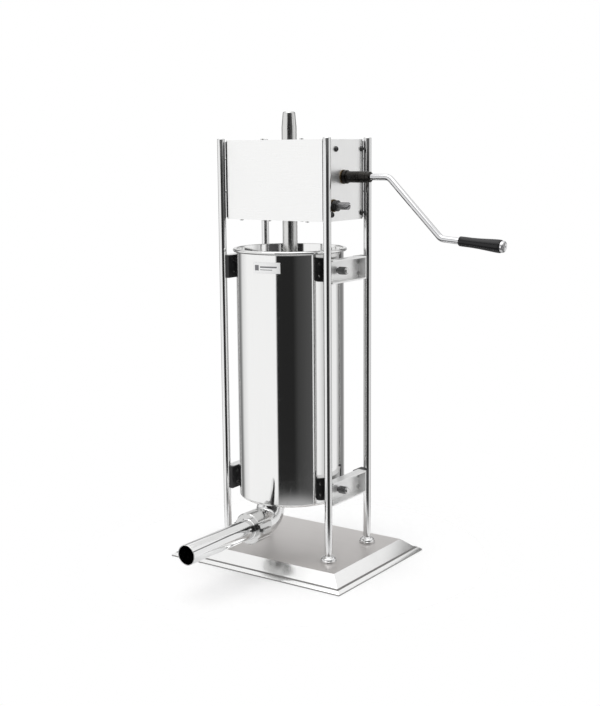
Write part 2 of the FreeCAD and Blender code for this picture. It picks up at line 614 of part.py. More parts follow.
def make_covers():
    """Top and bottom plates, front and rear covers and their small screws."""
    low, high = side_screw_heights()
    bottom = plate_profile(HOUSE_BOTTOM_Z, HOUSE_BOTTOM_Z + FLANGE_H)
    top = plate_profile(HOUSE_TOP_Z, HOUSE_TOP_Z - TOP_FLANGE_H)
    guide = ROD_R + RUN_FIT + GUIDE_WALL + SEAT_FIT
    bottom = bottom.cut(rod_z(guide, HOUSE_BOTTOM_Z, HOUSE_IN_BOTTOM, 0, ROD_Y))
    top = top.cut(rod_z(guide, HOUSE_IN_TOP, HOUSE_TOP_Z, 0, ROD_Y))
    for sx in (-1, 1):
        x0, x1 = sorted((sx * (SIDE_IN_X - HOUSE_SHEET - REACH), sx * SIDE_IN_X))
        bottom = bottom.cut(rod_x(SIDE_SCREW_R, x0, x1, SIDE_SCREW_Y_BOTTOM, low))
        top = top.cut(rod_x(SIDE_SCREW_R, x0, x1, SIDE_SCREW_Y_TOP, high))
    for x, y in bracket_screw_places():
        bottom = bottom.cut(rod_z(COVER_SCREW_R + SCREW_FIT, HOUSE_BOTTOM_Z, HOUSE_IN_BOTTOM, x, y))
        top = top.cut(rod_z(COVER_SCREW_R + SCREW_FIT, HOUSE_IN_TOP, HOUSE_TOP_Z, x, y))
    front = box(-COVER_HALF_X, COVER_HALF_X, -HOUSE_HALF_Y, -COVER_IN_Y, HOUSE_BOTTOM_Z, HOUSE_TOP_Z)
    lip_y = -COVER_IN_Y + COVER_FLANGE
    lip_half_x = COVER_HALF_X - COVER_LIP_INSET
    lip_z = HOUSE_IN_BOTTOM
    lip = box(-lip_half_x, lip_half_x, -HOUSE_HALF_Y, lip_y, lip_z, lip_z + HOUSE_SHEET)
    top_lip = box(-lip_half_x, lip_half_x, -HOUSE_HALF_Y, lip_y, HOUSE_IN_TOP - HOUSE_SHEET, HOUSE_IN_TOP)
    front = front.fuse([lip, top_lip]).removeSplitter()
    screws = []
    screw_y = -HOUSE_HALF_Y + COVER_SCREW_INSET
    through = COVER_SCREW_R + SCREW_FIT
    for x in COVER_SCREW_X:
        for y in (screw_y, -screw_y):
            bottom = bottom.cut(rod_z(through, HOUSE_BOTTOM_Z, HOUSE_IN_BOTTOM, x, y))
        front = front.cut(rod_z(COVER_SCREW_R, lip_z, lip_z + HOUSE_SHEET, x, screw_y))
        head = rod_z(COVER_SCREW_HEAD_R, HOUSE_BOTTOM_Z - COVER_SCREW_HEAD_H, HOUSE_BOTTOM_Z, x, screw_y)
        tip_z = lip_z + HOUSE_SHEET + THREAD_SPARE
        screw = head.fuse(rod_z(COVER_SCREW_R, HOUSE_BOTTOM_Z, tip_z, x, screw_y))
        screws += [screw, mirror_y(screw)]
    export("bottom_plate", bottom)
    export("top_plate", top)
    export("front_cover", front)
    export("rear_cover", mirror_y(front))
    export("cover_screws", *screws)


def make_brackets():
    """Two folded bearing brackets between the bottom and top plates, and their screws."""
    x0, x1 = BRACKET_X, BRACKET_X + BRACKET_T
    z0, z1 = HOUSE_IN_BOTTOM, HOUSE_IN_TOP
    low_z, high_z = z0 + BRACKET_FOOT_T, z1 - BRACKET_FOOT_T
    web = box(x0, x1, -BRACKET_HALF_Y, BRACKET_HALF_Y, z0, z1)
    feet = [box(x0, x1 + BRACKET_FOOT, -BRACKET_HALF_Y, BRACKET_HALF_Y, z0, low_z),
            box(x0, x1 + BRACKET_FOOT, -BRACKET_HALF_Y, BRACKET_HALF_Y, high_z, z1)]
    plain = web.fuse(feet).removeSplitter()
    for x, y in bracket_screw_places():
        if x > 0:
            plain = plain.cut(rod_z(COVER_SCREW_R, z0, z1, x, y))
    plain = plain.cut(rod_x(SHAFT_R + BUSH_WALL, x0, x1, PINION_Y, PINION_Z))
    right = plain.cut(rod_x(SHAFT_R + BUSH_WALL, x0, x1, CRANK_Y, CRANK_Z))
    right = right.cut(rod_x(SHAFT_R + BUSH_WALL, x0, x1, FAST_Y, FAST_Z))
    export("bracket_right", right)
    export("bracket_left", mirror_x(plain))
    screws = []
    for x, y in bracket_screw_places():
        low = rod_z(COVER_SCREW_HEAD_R, HOUSE_BOTTOM_Z - COVER_SCREW_HEAD_H, HOUSE_BOTTOM_Z, x, y)
        screws.append(low.fuse(rod_z(COVER_SCREW_R, HOUSE_BOTTOM_Z, low_z, x, y)))
        high = rod_z(COVER_SCREW_HEAD_R, HOUSE_TOP_Z, HOUSE_TOP_Z + COVER_SCREW_HEAD_H, x, y)
        screws.append(high.fuse(rod_z(COVER_SCREW_R, high_z, HOUSE_TOP_Z, x, y)))
    export("bracket_screws", *screws)


def bush(r, x0, x1, y, z, flange_side):
    """Plain bush along X with a thin flange at one end."""
    body = rod_x(r + BUSH_WALL, x0, x1, y, z)
    if flange_side > 0:
        body = body.fuse(rod_x(r + BUSH_WALL + BUSH_FLANGE, x1, x1 + BUSH_FLANGE_T, y, z))
    elif flange_side < 0:
        body = body.fuse(rod_x(r + BUSH_WALL + BUSH_FLANGE, x0 - BUSH_FLANGE_T, x0, y, z))
    return body.cut(rod_x(r + RUN_FIT, x0 - BUSH_FLANGE_T, x1 + BUSH_FLANGE_T, y, z))


def make_bushes():
    """Bushes of the three shafts, and the rack's guides and backing pad."""
    b0, b1 = BRACKET_X, BRACKET_X + BRACKET_T
    pinion_bush = bush(SHAFT_R, b0, b1, PINION_Y, PINION_Z, 1)
    export("shaft_bushes",
           bush(CRANK_SHAFT_R, SIDE_IN_X, HOUSE_HALF_X, CRANK_Y, CRANK_Z, 1),
           bush(SHAFT_R, b0, b1, CRANK_Y, CRANK_Z, 1),
           bush(SHAFT_R, SIDE_IN_X, HOUSE_HALF_X, FAST_Y, FAST_Z, 1),
           bush(SHAFT_R, b0, b1, FAST_Y, FAST_Z, 1),
           pinion_bush, mirror_x(pinion_bush),
           bush(SHAFT_R, SIDE_IN_X - BOSS_LEN, SIDE_IN_X, PINION_Y, PINION_Z, -1))
    bore, wall = ROD_R + RUN_FIT, ROD_R + RUN_FIT + GUIDE_WALL
    flange = wall + GUIDE_FLANGE
    lower = ring_z(wall, bore, HOUSE_BOTTOM_Z, HOUSE_IN_BOTTOM + GUIDE_IN, 0, ROD_Y)
    lower = lower.fuse(ring_z(flange, bore, HOUSE_IN_BOTTOM, HOUSE_IN_BOTTOM + GUIDE_T, 0, ROD_Y))
    upper = ring_z(wall, bore, HOUSE_IN_TOP - GUIDE_IN, HOUSE_TOP_Z, 0, ROD_Y)
    upper = upper.fuse(ring_z(flange, bore, HOUSE_IN_TOP - GUIDE_T, HOUSE_IN_TOP, 0, ROD_Y))
    export("rack_guides", lower.removeSplitter(), upper.removeSplitter())
    z0, z1 = PINION_Z - PAD_HALF_H, PINION_Z + PAD_HALF_H
    pad = box(-BRACKET_X, BRACKET_X, ROD_Y - ROD_R - PAD_BACK, ROD_Y - PAD_LAP, z0, z1)
    export("rack_pad", pad.cut(rod_z(bore, z0, z1, 0, ROD_Y)))


# ============================================================================================
# gear train and crank
# ============================================================================================
def make_gear_train():
    """Rack pinion, slow and fast pairs and their three shafts, in mesh at rest."""
    # the rack pinion shows a tooth gap towards the rack, where the rack has a tooth
    gap_phase = math.pi + math.pi / RACK_PINION_TEETH
    rack_pinion = gear_x(RACK_MODULE, RACK_PINION_TEETH, gap_phase, -RACK_PINION_W / 2.0, RACK_PINION_W,
                         PINION_Y, PINION_Z, SHAFT_R)
    export("rack_pinion", rack_pinion)
    slow_phase = 0.0
    to_crank = math.atan2(CRANK_Z - PINION_Z, CRANK_Y - PINION_Y)
    to_fast = math.atan2(FAST_Z - PINION_Z, FAST_Y - PINION_Y)
    crank_phase = mesh_phase(slow_phase, SLOW_TEETH, CRANK_PINION_TEETH, to_crank)
    fast_phase = mesh_phase(slow_phase, FAST_TEETH, FAST_PINION_TEETH, to_fast)
    driver_w = GEAR_W + 2 * PINION_SHOULDER
    export("slow_gear", gear_x(GEAR_MODULE, SLOW_TEETH, slow_phase, SLOW_X, GEAR_W,
                               PINION_Y, PINION_Z, SHAFT_R))
    export("crank_pinion", gear_x(GEAR_MODULE, CRANK_PINION_TEETH, crank_phase, SLOW_X - PINION_SHOULDER,
                                  driver_w, CRANK_Y, CRANK_Z, SHAFT_R))
    export("fast_gear", gear_x(GEAR_MODULE, FAST_TEETH, slow_phase, FAST_X, GEAR_W,
                               PINION_Y, PINION_Z, SHAFT_R))
    export("fast_pinion", gear_x(GEAR_MODULE, FAST_PINION_TEETH, fast_phase, FAST_X - PINION_SHOULDER,
                                 driver_w, FAST_Y, FAST_Z, SHAFT_R))
    export("pinion_shaft", rod_x(SHAFT_R, -BRACKET_X - BRACKET_T, SIDE_IN_X - SHAFT_END_GAP,
                                 PINION_Y, PINION_Z))
    shoulder_x = SLOW_X + GEAR_W + PINION_SHOULDER
    shaft = rod_x(SHAFT_R, BRACKET_X, shoulder_x, CRANK_Y, CRANK_Z)
    shaft = shaft.fuse(rod_x(CRANK_SHAFT_R, shoulder_x, HUB_START_X + SHAFT_IN_HUB, CRANK_Y, CRANK_Z))
    export("crank_shaft", shaft.removeSplitter())
    collar_x = HOUSE_HALF_X + BUSH_FLANGE_T + PLAY
    collar_end = collar_x + FAST_COLLAR_LEN
    fast = rod_x(SHAFT_R, BRACKET_X, collar_end, FAST_Y, FAST_Z)
    fast = fast.fuse(rod_x(FAST_STUB_R, collar_end, HOUSE_HALF_X + FAST_STUB_LEN, FAST_Y, FAST_Z))
    export("fast_shaft", fast.removeSplitter())
    ring = rod_x(FAST_COLLAR_R, collar_x, collar_end, FAST_Y, FAST_Z)
    export("fast_collar", ring.cut(rod_x(SHAFT_R, collar_x, collar_end, FAST_Y, FAST_Z)))


def crank_path(start_x):
    """Centre line of the crank rod: shaft line, diagonal, and the slightly drooping end."""
    p0 = V(start_x, CRANK_Y, CRANK_Z)
    p1 = V(CRANK_BEND_1_X, CRANK_Y, CRANK_Z)
    p2 = V(CRANK_BEND_2_X, CRANK_Y, CRANK_Z - CRANK_THROW)
    along = grip_direction()
    p3 = p2 + along * GRIP_START
    return p0, p1, p2, p3


def grip_direction():
    """Unit vector along the grip, outwards."""
    return V(math.cos(GRIP_DROOP), 0, -math.sin(GRIP_DROOP))


def rounded_wire(points, radius):
    """Polyline with each inner corner replaced by a tangent arc."""
    edges, start = [], points[0]
    for i in range(1, len(points) - 1):
        a = (points[i - 1] - points[i]).normalize()
        b = (points[i + 1] - points[i]).normalize()
        half = a.getAngle(b) / 2.0
        cut = radius / math.tan(half)
        first, last = points[i] + a * cut, points[i] + b * cut
        bisector = (a + b).normalize()
        centre = points[i] + bisector * (radius / math.sin(half))
        middle = centre - bisector * radius
        edges += [Part.makeLine(start, first), Part.Arc(first, middle, last).toShape()]
        start = last
    edges.append(Part.makeLine(start, points[-1]))
    return Part.Wire(edges)


def make_crank():
    """Hub, set screw, bent rod, turning grip and its end cap."""
    hub_end = HUB_START_X + HUB_LEN
    hub = rod_x(HUB_R, HUB_START_X, hub_end, CRANK_Y, CRANK_Z)
    hub = hub.fuse(rod_x(HUB_COLLAR_R, HUB_START_X, HUB_START_X + HUB_COLLAR_LEN, CRANK_Y, CRANK_Z))
    shaft_end = HUB_START_X + SHAFT_IN_HUB
    hub = hub.cut(rod_x(CRANK_SHAFT_R, HUB_START_X, shaft_end, CRANK_Y, CRANK_Z))
    hub = hub.cut(rod_x(CRANK_ROD_R, shaft_end, hub_end, CRANK_Y, CRANK_Z)).removeSplitter()
    screw_x = HUB_START_X + SET_SCREW_X
    out = V(0, -1, 0)
    hole = Part.makeCylinder(SET_SCREW_R, HUB_R + REACH, V(screw_x, CRANK_Y, CRANK_Z), out)
    export("crank_hub", hub.cut(hole))
    export("crank_set_screw", Part.makeCylinder(SET_SCREW_R, HUB_R - CRANK_SHAFT_R + SET_SCREW_PROUD,
                                                V(screw_x, CRANK_Y - CRANK_SHAFT_R, CRANK_Z), out))
    points = crank_path(shaft_end)
    wire = rounded_wire(points, CRANK_BEND_R)
    section = Part.Wire(Part.makeCircle(CRANK_ROD_R, points[0], X_AXIS))
    rod = wire.makePipeShell([section], True, True)
    along = grip_direction()
    grip_start = points[-1]
    pin_len = GRIP_LEN + PIN_IN_CAP
    rod = rod.fuse(Part.makeCylinder(GRIP_PIN_R, pin_len, grip_start, along)).removeSplitter()
    export("crank_arm", rod)
    # grip: a slim waist that swells to the free end, turned about the rod
    bore = GRIP_PIN_R + RUN_FIT
    outline = [(0.0, bore), (0.0, GRIP_R_INNER - GRIP_ROUND), (GRIP_ROUND, GRIP_R_INNER),
               (GRIP_LEN / 2.0, GRIP_R_WAIST), (GRIP_LEN - GRIP_SWELL_END, GRIP_R_OUTER),
               (GRIP_LEN, GRIP_R_OUTER - GRIP_END_ROUND), (GRIP_LEN, bore)]
    cap_end = GRIP_LEN + GRIP_CAP_LEN
    cap_outline = [(GRIP_LEN, bore), (GRIP_LEN, GRIP_CAP_R), (cap_end - GRIP_ROUND, GRIP_CAP_R),
                   (cap_end, GRIP_CAP_FACE_R), (cap_end, 0), (pin_len + PLAY, 0), (pin_len + PLAY, bore)]
    place = FreeCAD.Placement(grip_start + along * PLAY, FreeCAD.Rotation(Y_AXIS, math.degrees(GRIP_DROOP)))
    for name, steps in (("grip", outline), ("grip_cap", cap_outline)):
        turned = revolve_profile([V(distance, 0, r) for distance, r in steps], V(0, 0, 0), X_AXIS)
        export(name, turned.transformGeometry(place.toMatrix()))


# ============================================================================================
# rack and piston
# ============================================================================================
def make_rack():
    """Rack rod with its spigot, piston plate, seal, nut and air valve."""
    rod = rod_z(ROD_R, PISTON_TOP_Z, ROD_TOP_Z - ROD_CONE_LEN, 0, ROD_Y)
    cone = Part.makeCone(ROD_R, ROD_CONE_R, ROD_CONE_LEN, V(0, ROD_Y, ROD_TOP_Z - ROD_CONE_LEN), Z_AXIS)
    rod = rod.fuse(cone.makeFillet(ROD_NOSE_R, round_edges(cone, z=ROD_TOP_Z)))
    rod = rod.fuse(rod_z(ROD_SPIGOT_R, PISTON_NUT_Z, PISTON_TOP_Z, 0, ROD_Y)).removeSplitter()
    pitch = math.pi * RACK_MODULE
    tip_y = RACK_PITCH_Y + ADDENDUM * RACK_MODULE
    root_y = RACK_PITCH_Y - DEDENDUM * RACK_MODULE
    low, high = PISTON_TOP_Z + RACK_BOTTOM_MARGIN, ROD_TOP_Z - RACK_TOP_MARGIN
    first = math.ceil((low - PINION_Z) / pitch)
    last = math.floor((high - PINION_Z) / pitch)
    half_gap = (pitch / 2.0 + BACKLASH) / 2.0
    slope = math.tan(PRESSURE_ANGLE)
    wide = half_gap + ADDENDUM * RACK_MODULE * slope
    narrow = half_gap - DEDENDUM * RACK_MODULE * slope
    outline = []
    for k in range(first, last + 2):
        gap_z = PINION_Z + (k - 0.5) * pitch
        outline += [(tip_y, gap_z - wide), (root_y, gap_z - narrow),
                    (root_y, gap_z + narrow), (tip_y, gap_z + wide)]
    # the outline starts and ends behind the rod, level with the first and last flank
    behind = ROD_Y + ROD_R + REACH
    outline = [(behind, outline[0][1])] + outline + [(behind, outline[-1][1])]
    side = ROD_R + REACH
    teeth = polygon_prism([V(-side, y, z) for y, z in outline], V(2 * side, 0, 0))
    rod = rod.cut(teeth)
    export("rack_rod", rod)

    inner = CYL_R - CYL_WALL
    plate_r = inner - PISTON_RIM_GAP
    groove_z = PISTON_Z + (PISTON_T - SEAL_T) / 2.0
    plate = rod_z(plate_r, PISTON_Z, PISTON_TOP_Z, 0, CYL_Y)
    plate = plate.cut(ring_z(inner, plate_r - SEAL_DEPTH, groove_z, groove_z + SEAL_T, 0, CYL_Y))
    plate = plate.cut(rod_z(ROD_SPIGOT_R, PISTON_Z, PISTON_TOP_Z, 0, ROD_Y))
    nut_top = PISTON_NUT_Z + PISTON_NUT_H
    plate = plate.cut(rod_z(PISTON_NUT_POCKET_R, PISTON_Z, nut_top, 0, ROD_Y))
    valve_y = CYL_Y + VALVE_OFFSET
    plate = plate.cut(rod_z(VALVE_STEM_R + VALVE_STEM_GAP, PISTON_Z, PISTON_TOP_Z, 0, valve_y))
    plate = plate.cut(rod_z(VALVE_HEAD_R + PLAY, PISTON_Z, PISTON_Z + VALVE_POCKET_H, 0, valve_y))
    export("piston_plate", plate)
    seal = ring_z(inner - SEAL_GAP, plate_r - SEAL_DEPTH, groove_z, groove_z + SEAL_T, 0, CYL_Y)
    export("piston_seal", seal)
    nut = hexagon(PISTON_NUT_AF, 0, ROD_Y, PISTON_NUT_Z, PISTON_NUT_H)
    export("piston_nut", nut.cut(rod_z(ROD_SPIGOT_R, PISTON_NUT_Z, nut_top, 0, ROD_Y)))
    knob_z = PISTON_TOP_Z + VALVE_TRAVEL + VALVE_KNOB_GAP
    head_z = PISTON_Z + PLAY
    valve = rod_z(VALVE_STEM_R, head_z, knob_z + VALVE_KNOB_H, 0, valve_y)
    valve = valve.fuse(rod_z(VALVE_HEAD_R, head_z, head_z + VALVE_HEAD_H, 0, valve_y))
    valve = valve.fuse(rod_z(VALVE_KNOB_R, knob_z, knob_z + VALVE_KNOB_H, 0, valve_y))
    export("air_valve", valve.removeSplitter())


# ============================================================================================
# cylinder and outlet
# ============================================================================================
def cup(radius, z0, z1, edge_r):
    """Upright cylinder with a rounded bottom edge."""
    solid = rod_z(radius, z0, z1, 0, CYL_Y)
    return solid.makeFillet(edge_r, round_edges(solid, z=z0))


def socket_solid(z):
    """Boss on the cylinder's right side that takes a locking screw's tip."""
    outer = rod_x(SOCKET_R, 0, RAIL_X - PLAY, LOCK_Y, z)
    hole = rod_x(LOCK_R + RUN_FIT, CYL_R - REACH, RAIL_X, LOCK_Y, z)
    return outer.cut(rod_z(CYL_R, z - 2 * SOCKET_R, z + 2 * SOCKET_R, 0, CYL_Y)).cut(hole)


def lock_heights():
    """Heights of the locking screws at the two levels."""
    return [(level, z + RAIL_H / 2.0) for level, z in RAIL_LEVELS]


def make_cylinder():
    """Cylinder with rolled rim, the bosses on its sides and a plain plate on its front."""
    shell = cup(CYL_R, CYL_BOTTOM_Z, CYL_TOP_Z, CYL_EDGE_R)
    inner_edge_r = CYL_EDGE_R - CYL_FLOOR
    shell = shell.cut(cup(CYL_R - CYL_WALL, CYL_FLOOR_Z, CYL_TOP_Z + REACH, inner_edge_r))
    rim_z = CYL_TOP_Z - RIM_BEAD_R
    rim = Part.makeTorus(CYL_R + RIM_BEAD_R - RIM_BEAD_SINK, RIM_BEAD_R, V(0, CYL_Y, rim_z), Z_AXIS)
    rim = rim.cut(rod_z(CYL_R - CYL_WALL, rim_z - RIM_BEAD_R, rim_z + RIM_BEAD_R, 0, CYL_Y))
    shell = shell.fuse(rim)
    shell = shell.cut(rod_z(OUTLET_R - OUTLET_WALL, CYL_BOTTOM_Z, CYL_FLOOR_Z, 0, OUTLET_Y))
    export("cylinder", shell)
    right = [socket_solid(z) for _, z in lock_heights()]
    export("cylinder_sockets", *(right + [mirror_x(s) for s in right]))
    low, high = PLATE_Z - PLATE_H / 2.0, PLATE_Z + PLATE_H / 2.0
    plate = ring_z(CYL_R + PLATE_T, CYL_R, low, high, 0, CYL_Y)
    half = PLATE_W / 2.0 / CYL_R
    far = 2 * CYL_R
    wedge = [V(0, CYL_Y, 0)]
    for angle in (PLATE_ANGLE - half, PLATE_ANGLE + half):
        wedge.append(V(far * math.cos(angle), CYL_Y + far * math.sin(angle), 0))
    export("blank_plate", plate.common(polygon_prism(wedge, V(0, 0, CYL_TOP_Z))))


def elbow_solid(radius, end_y, top_z):
    """Solid of the outlet's bent tube: down, round the bend and towards the front."""
    centre = V(0, OUTLET_Y - OUTLET_BEND_R, OUTLET_Z + OUTLET_BEND_R)
    start = V(0, OUTLET_Y, OUTLET_Z + OUTLET_BEND_R)
    disc = Part.Face(Part.Wire(Part.makeCircle(radius, start, Z_AXIS)))
    bend = disc.revolve(centre, X_AXIS, -90)
    down = rod_z(radius, OUTLET_Z + OUTLET_BEND_R, top_z, 0, OUTLET_Y)
    solids = [down, rod_y(radius, end_y, OUTLET_Y - OUTLET_BEND_R, 0, OUTLET_Z)]
    return bend.fuse(solids).removeSplitter()


def make_outlet():
    """Elbow, seal, filling tube and its union nut."""
    outer = elbow_solid(OUTLET_R, OUTLET_FACE_Y, CYL_BOTTOM_Z)
    inner = elbow_solid(OUTLET_R - OUTLET_WALL, OUTLET_FACE_Y - REACH, CYL_BOTTOM_Z + REACH)
    export("outlet_elbow", outer.cut(inner))
    seal_y = OUTLET_FACE_Y - NOZZLE_SEAL_T
    passage_r = NOZZLE_R - NOZZLE_WALL
    seal = rod_y(NOZZLE_FLANGE_R, seal_y, OUTLET_FACE_Y, 0, OUTLET_Z)
    export("nozzle_seal", seal.cut(rod_y(passage_r, seal_y, OUTLET_FACE_Y, 0, OUTLET_Z)))
    flange_y = seal_y - NOZZLE_FLANGE_T
    nut_front_y = NUT_BACK_Y - NUT_LEN
    root_y = nut_front_y - NOZZLE_ROOT_OUT
    slope = NOZZLE_ROOT_R - NOZZLE_R
    tube = rod_y(NOZZLE_R, NOZZLE_END_Y, seal_y, 0, OUTLET_Z)
    tube = tube.fuse([rod_y(NOZZLE_FLANGE_R, flange_y, seal_y, 0, OUTLET_Z),
                      rod_y(NOZZLE_ROOT_R, root_y, seal_y, 0, OUTLET_Z),
                      Part.makeCone(NOZZLE_R, NOZZLE_ROOT_R, slope, V(0, root_y - slope, OUTLET_Z), Y_AXIS)])
    tube = tube.cut(rod_y(passage_r, NOZZLE_END_Y, seal_y, 0, OUTLET_Z))
    export("nozzle_tube", tube.removeSplitter())
    nut = rod_y(NUT_R, nut_front_y, NUT_BACK_Y, 0, OUTLET_Z)
    nut = nut.makeChamfer(NUT_CHAMFER, round_edges(nut))
    nut = nut.cut(rod_y(OUTLET_R + RUN_FIT, flange_y, NUT_BACK_Y, 0, OUTLET_Z))
    nut = nut.cut(rod_y(NOZZLE_ROOT_R + RUN_FIT, nut_front_y, flange_y, 0, OUTLET_Z))
    for k in range(NUT_FLUTES):
        angle = 2.0 * math.pi * (k + 0.5) / NUT_FLUTES
        far = NUT_R + FLUTE_OUT
        x, z = far * math.cos(angle), OUTLET_Z + far * math.sin(angle)
        nut = nut.cut(rod_y(FLUTE_R, nut_front_y, NUT_BACK_Y, x, z))
    y0 = nut_front_y + NUT_WING_INSET
    z0, z1 = OUTLET_Z - NUT_WING_W / 2.0, OUTLET_Z + NUT_WING_W / 2.0
    for sx in (-1, 1):
        x0, x1 = sorted((sx * (NUT_R - REACH), sx * (NUT_R + NUT_WING)))
        nut = nut.fuse(box(x0, x1, y0, y0 + NUT_WING_LEN, z0, z1))
    export("nozzle_nut", nut.removeSplitter())


# ============================================================================================
# cylinder brackets
# ============================================================================================
def rail_solid(z0):
    """Right-hand channel rail with the holes of its locking and block screws."""
    x0, x1 = RAIL_X, RAIL_OUT_X
    z1 = z0 + RAIL_H
    rail = box(x0, x1, RAIL_FRONT_Y, RAIL_REAR_Y, z0, z1)
    rear_wall_y = RAIL_REAR_Y - RAIL_SHEET
    inside = box(x0 + RAIL_SHEET, x1, RAIL_FRONT_Y, rear_wall_y, z0 + RAIL_SHEET, z1 - RAIL_SHEET)
    rail = rail.cut(inside)
    rail = rail.cut(rod_x(LOCK_R + RUN_FIT, x0, x0 + RAIL_SHEET, LOCK_Y, z0 + RAIL_H / 2.0))
    for y, z in rail_screw_places(z0):
        rail = rail.cut(rod_x(RAIL_SCREW_R + SCREW_FIT, x0, x0 + RAIL_SHEET, y, z))
    return rail


def rail_screw_places(z0):
    """(y, z) of the screws that hold the nylon blocks to a rail."""
    middle = z0 + RAIL_H / 2.0
    return [(y, middle + dz) for y in (RAIL_SCREW_FRONT_Y, RAIL_SCREW_REAR_Y)
            for dz in (-RAIL_SCREW_DZ, RAIL_SCREW_DZ)]


def rear_block(z0, z1):
    """Rear nylon block of a right-hand rail: a plate inside it and a saddle for the post."""
    rail_end = RAIL_REAR_Y + PLAY
    block = box(RAIL_X - BLOCK_T, RAIL_X, BLOCK_IN_Y, BLOCK_OUT_Y, z0, z1)
    saddle = box(RAIL_X - BLOCK_T, POST_X - BLOCK_SADDLE, rail_end, BLOCK_OUT_Y, z0, z1)
    lap = box(RAIL_X, RAIL_OUT_X, rail_end, POST_Y - POST_R + BLOCK_COVER, z0, z1)
    return block.fuse([saddle, lap]).cut(rod_z(POST_R, z0, z1, POST_X, POST_Y))


def front_block(z0, z1):
    """Front nylon block of the left-hand rails, drawn on the right and mirrored later."""
    rail_end = RAIL_FRONT_Y - PLAY
    block = box(RAIL_X - BLOCK_T, RAIL_X, -BLOCK_OUT_Y, -BLOCK_IN_Y, z0, z1)
    saddle = box(RAIL_X - BLOCK_T, POST_X - BLOCK_SADDLE, -BLOCK_OUT_Y, rail_end, z0, z1)
    return block.fuse(saddle).cut(rod_z(POST_R, z0, z1, POST_X, -POST_Y))


def hooked_block(z0, z1):
    """Slim front block of the right-hand rails, which hooks round the rail's end."""
    rail_end = RAIL_FRONT_Y - PLAY
    block = box(RAIL_X - BLOCK_T, RAIL_X, RAIL_FRONT_Y + HOOK_T, -BLOCK_IN_Y, z0, z1)
    neck = box(RAIL_X - HOOK_T, RAIL_X, rail_end, RAIL_FRONT_Y + HOOK_T, z0, z1)
    hook = box(RAIL_X - HOOK_T, POST_X - BLOCK_SADDLE, rail_end - HOOK_DEPTH, rail_end, z0, z1)
    return block.fuse([neck, hook]).cut(rod_z(POST_R, z0, z1, POST_X, -POST_Y))


def block_solids(z0):
    """The four nylon blocks of one level."""
    z1 = z0 + RAIL_H
    rear = rear_block(z0, z1)
    blocks = []
    for block, mirrored in ((hooked_block(z0, z1), False), (front_block(z0, z1), True),
                            (rear, False), (rear, True)):
        block = block.removeSplitter()
        for y, z in rail_screw_places(z0):
            block = block.cut(rod_x(RAIL_SCREW_R, RAIL_X - BLOCK_T, RAIL_X, y, z))
        blocks.append(mirror_x(block) if mirrored else block)
    return blocks


def make_rails():
    """Four channel rails, their nylon post blocks, block screws and locking screws."""
    blocks, screws = [], []
    for level, z0 in RAIL_LEVELS:
        rail = rail_solid(z0)
        export("rail_%s_right" % level, rail)
        export("rail_%s_left" % level, mirror_x(rail))
        blocks += block_solids(z0)
        for y, z in rail_screw_places(z0):
            shank = rod_x(RAIL_SCREW_R, RAIL_X - BLOCK_T, RAIL_X + RAIL_SHEET, y, z)
            face_x = RAIL_X + RAIL_SHEET
            screw = shank.fuse(rod_x(RAIL_SCREW_HEAD_R, face_x, face_x + RAIL_SCREW_HEAD_H, y, z))
            screws += [screw, mirror_x(screw)]
        z = z0 + RAIL_H / 2.0
        lock = rod_x(LOCK_R, CYL_R + LOCK_TIP_GAP, LOCK_HEAD_IN_X, LOCK_Y, z)
        head = rod_x(LOCK_HEAD_R, LOCK_HEAD_IN_X, LOCK_HEAD_IN_X + LOCK_HEAD_LEN, LOCK_Y, z)
        lock = lock.fuse(head.makeChamfer(LOCK_CHAMFER, round_edges(head))).removeSplitter()
        export("lock_screw_%s_right" % level, lock)
        export("lock_screw_%s_left" % level, mirror_x(lock))
    export("post_blocks", *blocks)
    export("rail_screws", *screws)


def main():
    """Build every node."""
    os.makedirs("parts", exist_ok=True)
    make_base()
    make_posts()
    make_side_plates()
    make_covers()
    make_brackets()
    make_bushes()
    make_gear_train()
    make_crank()
    make_rack()
    make_cylinder()
    make_outlet()
    make_rails()


main()
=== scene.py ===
"""Vertical sausage stuffer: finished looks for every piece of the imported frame.

Each sub-assembly is a class. It reads its place from the frame's nodes, models the visible
pieces in edit mode, dresses them in their finishes and hands them to the bodies they ride on.
All lengths are in metres, +Z is up and -Y is the side of the filling tube.
"""
import json
import logging
import math
from contextlib import contextmanager
from dataclasses import dataclass, field
from enum import Enum
from functools import lru_cache
from typing import Callable, Dict, Iterable, Iterator, List, Optional, Sequence, Tuple, Union

import bpy
from mathutils import Matrix, Vector


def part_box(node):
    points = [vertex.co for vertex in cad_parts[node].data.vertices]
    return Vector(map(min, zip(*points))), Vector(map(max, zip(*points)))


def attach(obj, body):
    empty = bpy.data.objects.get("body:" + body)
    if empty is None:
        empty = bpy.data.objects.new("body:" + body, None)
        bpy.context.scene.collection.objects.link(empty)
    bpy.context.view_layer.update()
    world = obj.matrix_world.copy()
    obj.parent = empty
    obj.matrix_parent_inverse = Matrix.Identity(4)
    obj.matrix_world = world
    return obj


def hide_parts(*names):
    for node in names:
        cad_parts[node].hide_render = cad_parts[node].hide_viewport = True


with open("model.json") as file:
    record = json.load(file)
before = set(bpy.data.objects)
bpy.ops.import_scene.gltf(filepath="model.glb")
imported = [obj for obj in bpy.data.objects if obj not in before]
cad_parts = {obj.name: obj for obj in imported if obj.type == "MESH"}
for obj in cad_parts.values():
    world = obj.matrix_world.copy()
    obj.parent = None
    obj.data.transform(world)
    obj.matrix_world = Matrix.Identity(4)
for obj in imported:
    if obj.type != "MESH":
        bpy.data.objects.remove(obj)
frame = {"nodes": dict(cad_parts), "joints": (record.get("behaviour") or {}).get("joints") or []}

LOG = logging.getLogger("stuffer")
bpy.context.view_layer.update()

MM = 0.001
POLE = 5e-6                      # radius of the ring that is merged into a pole
SEAM = 1e-6                      # points nearer than this are one point
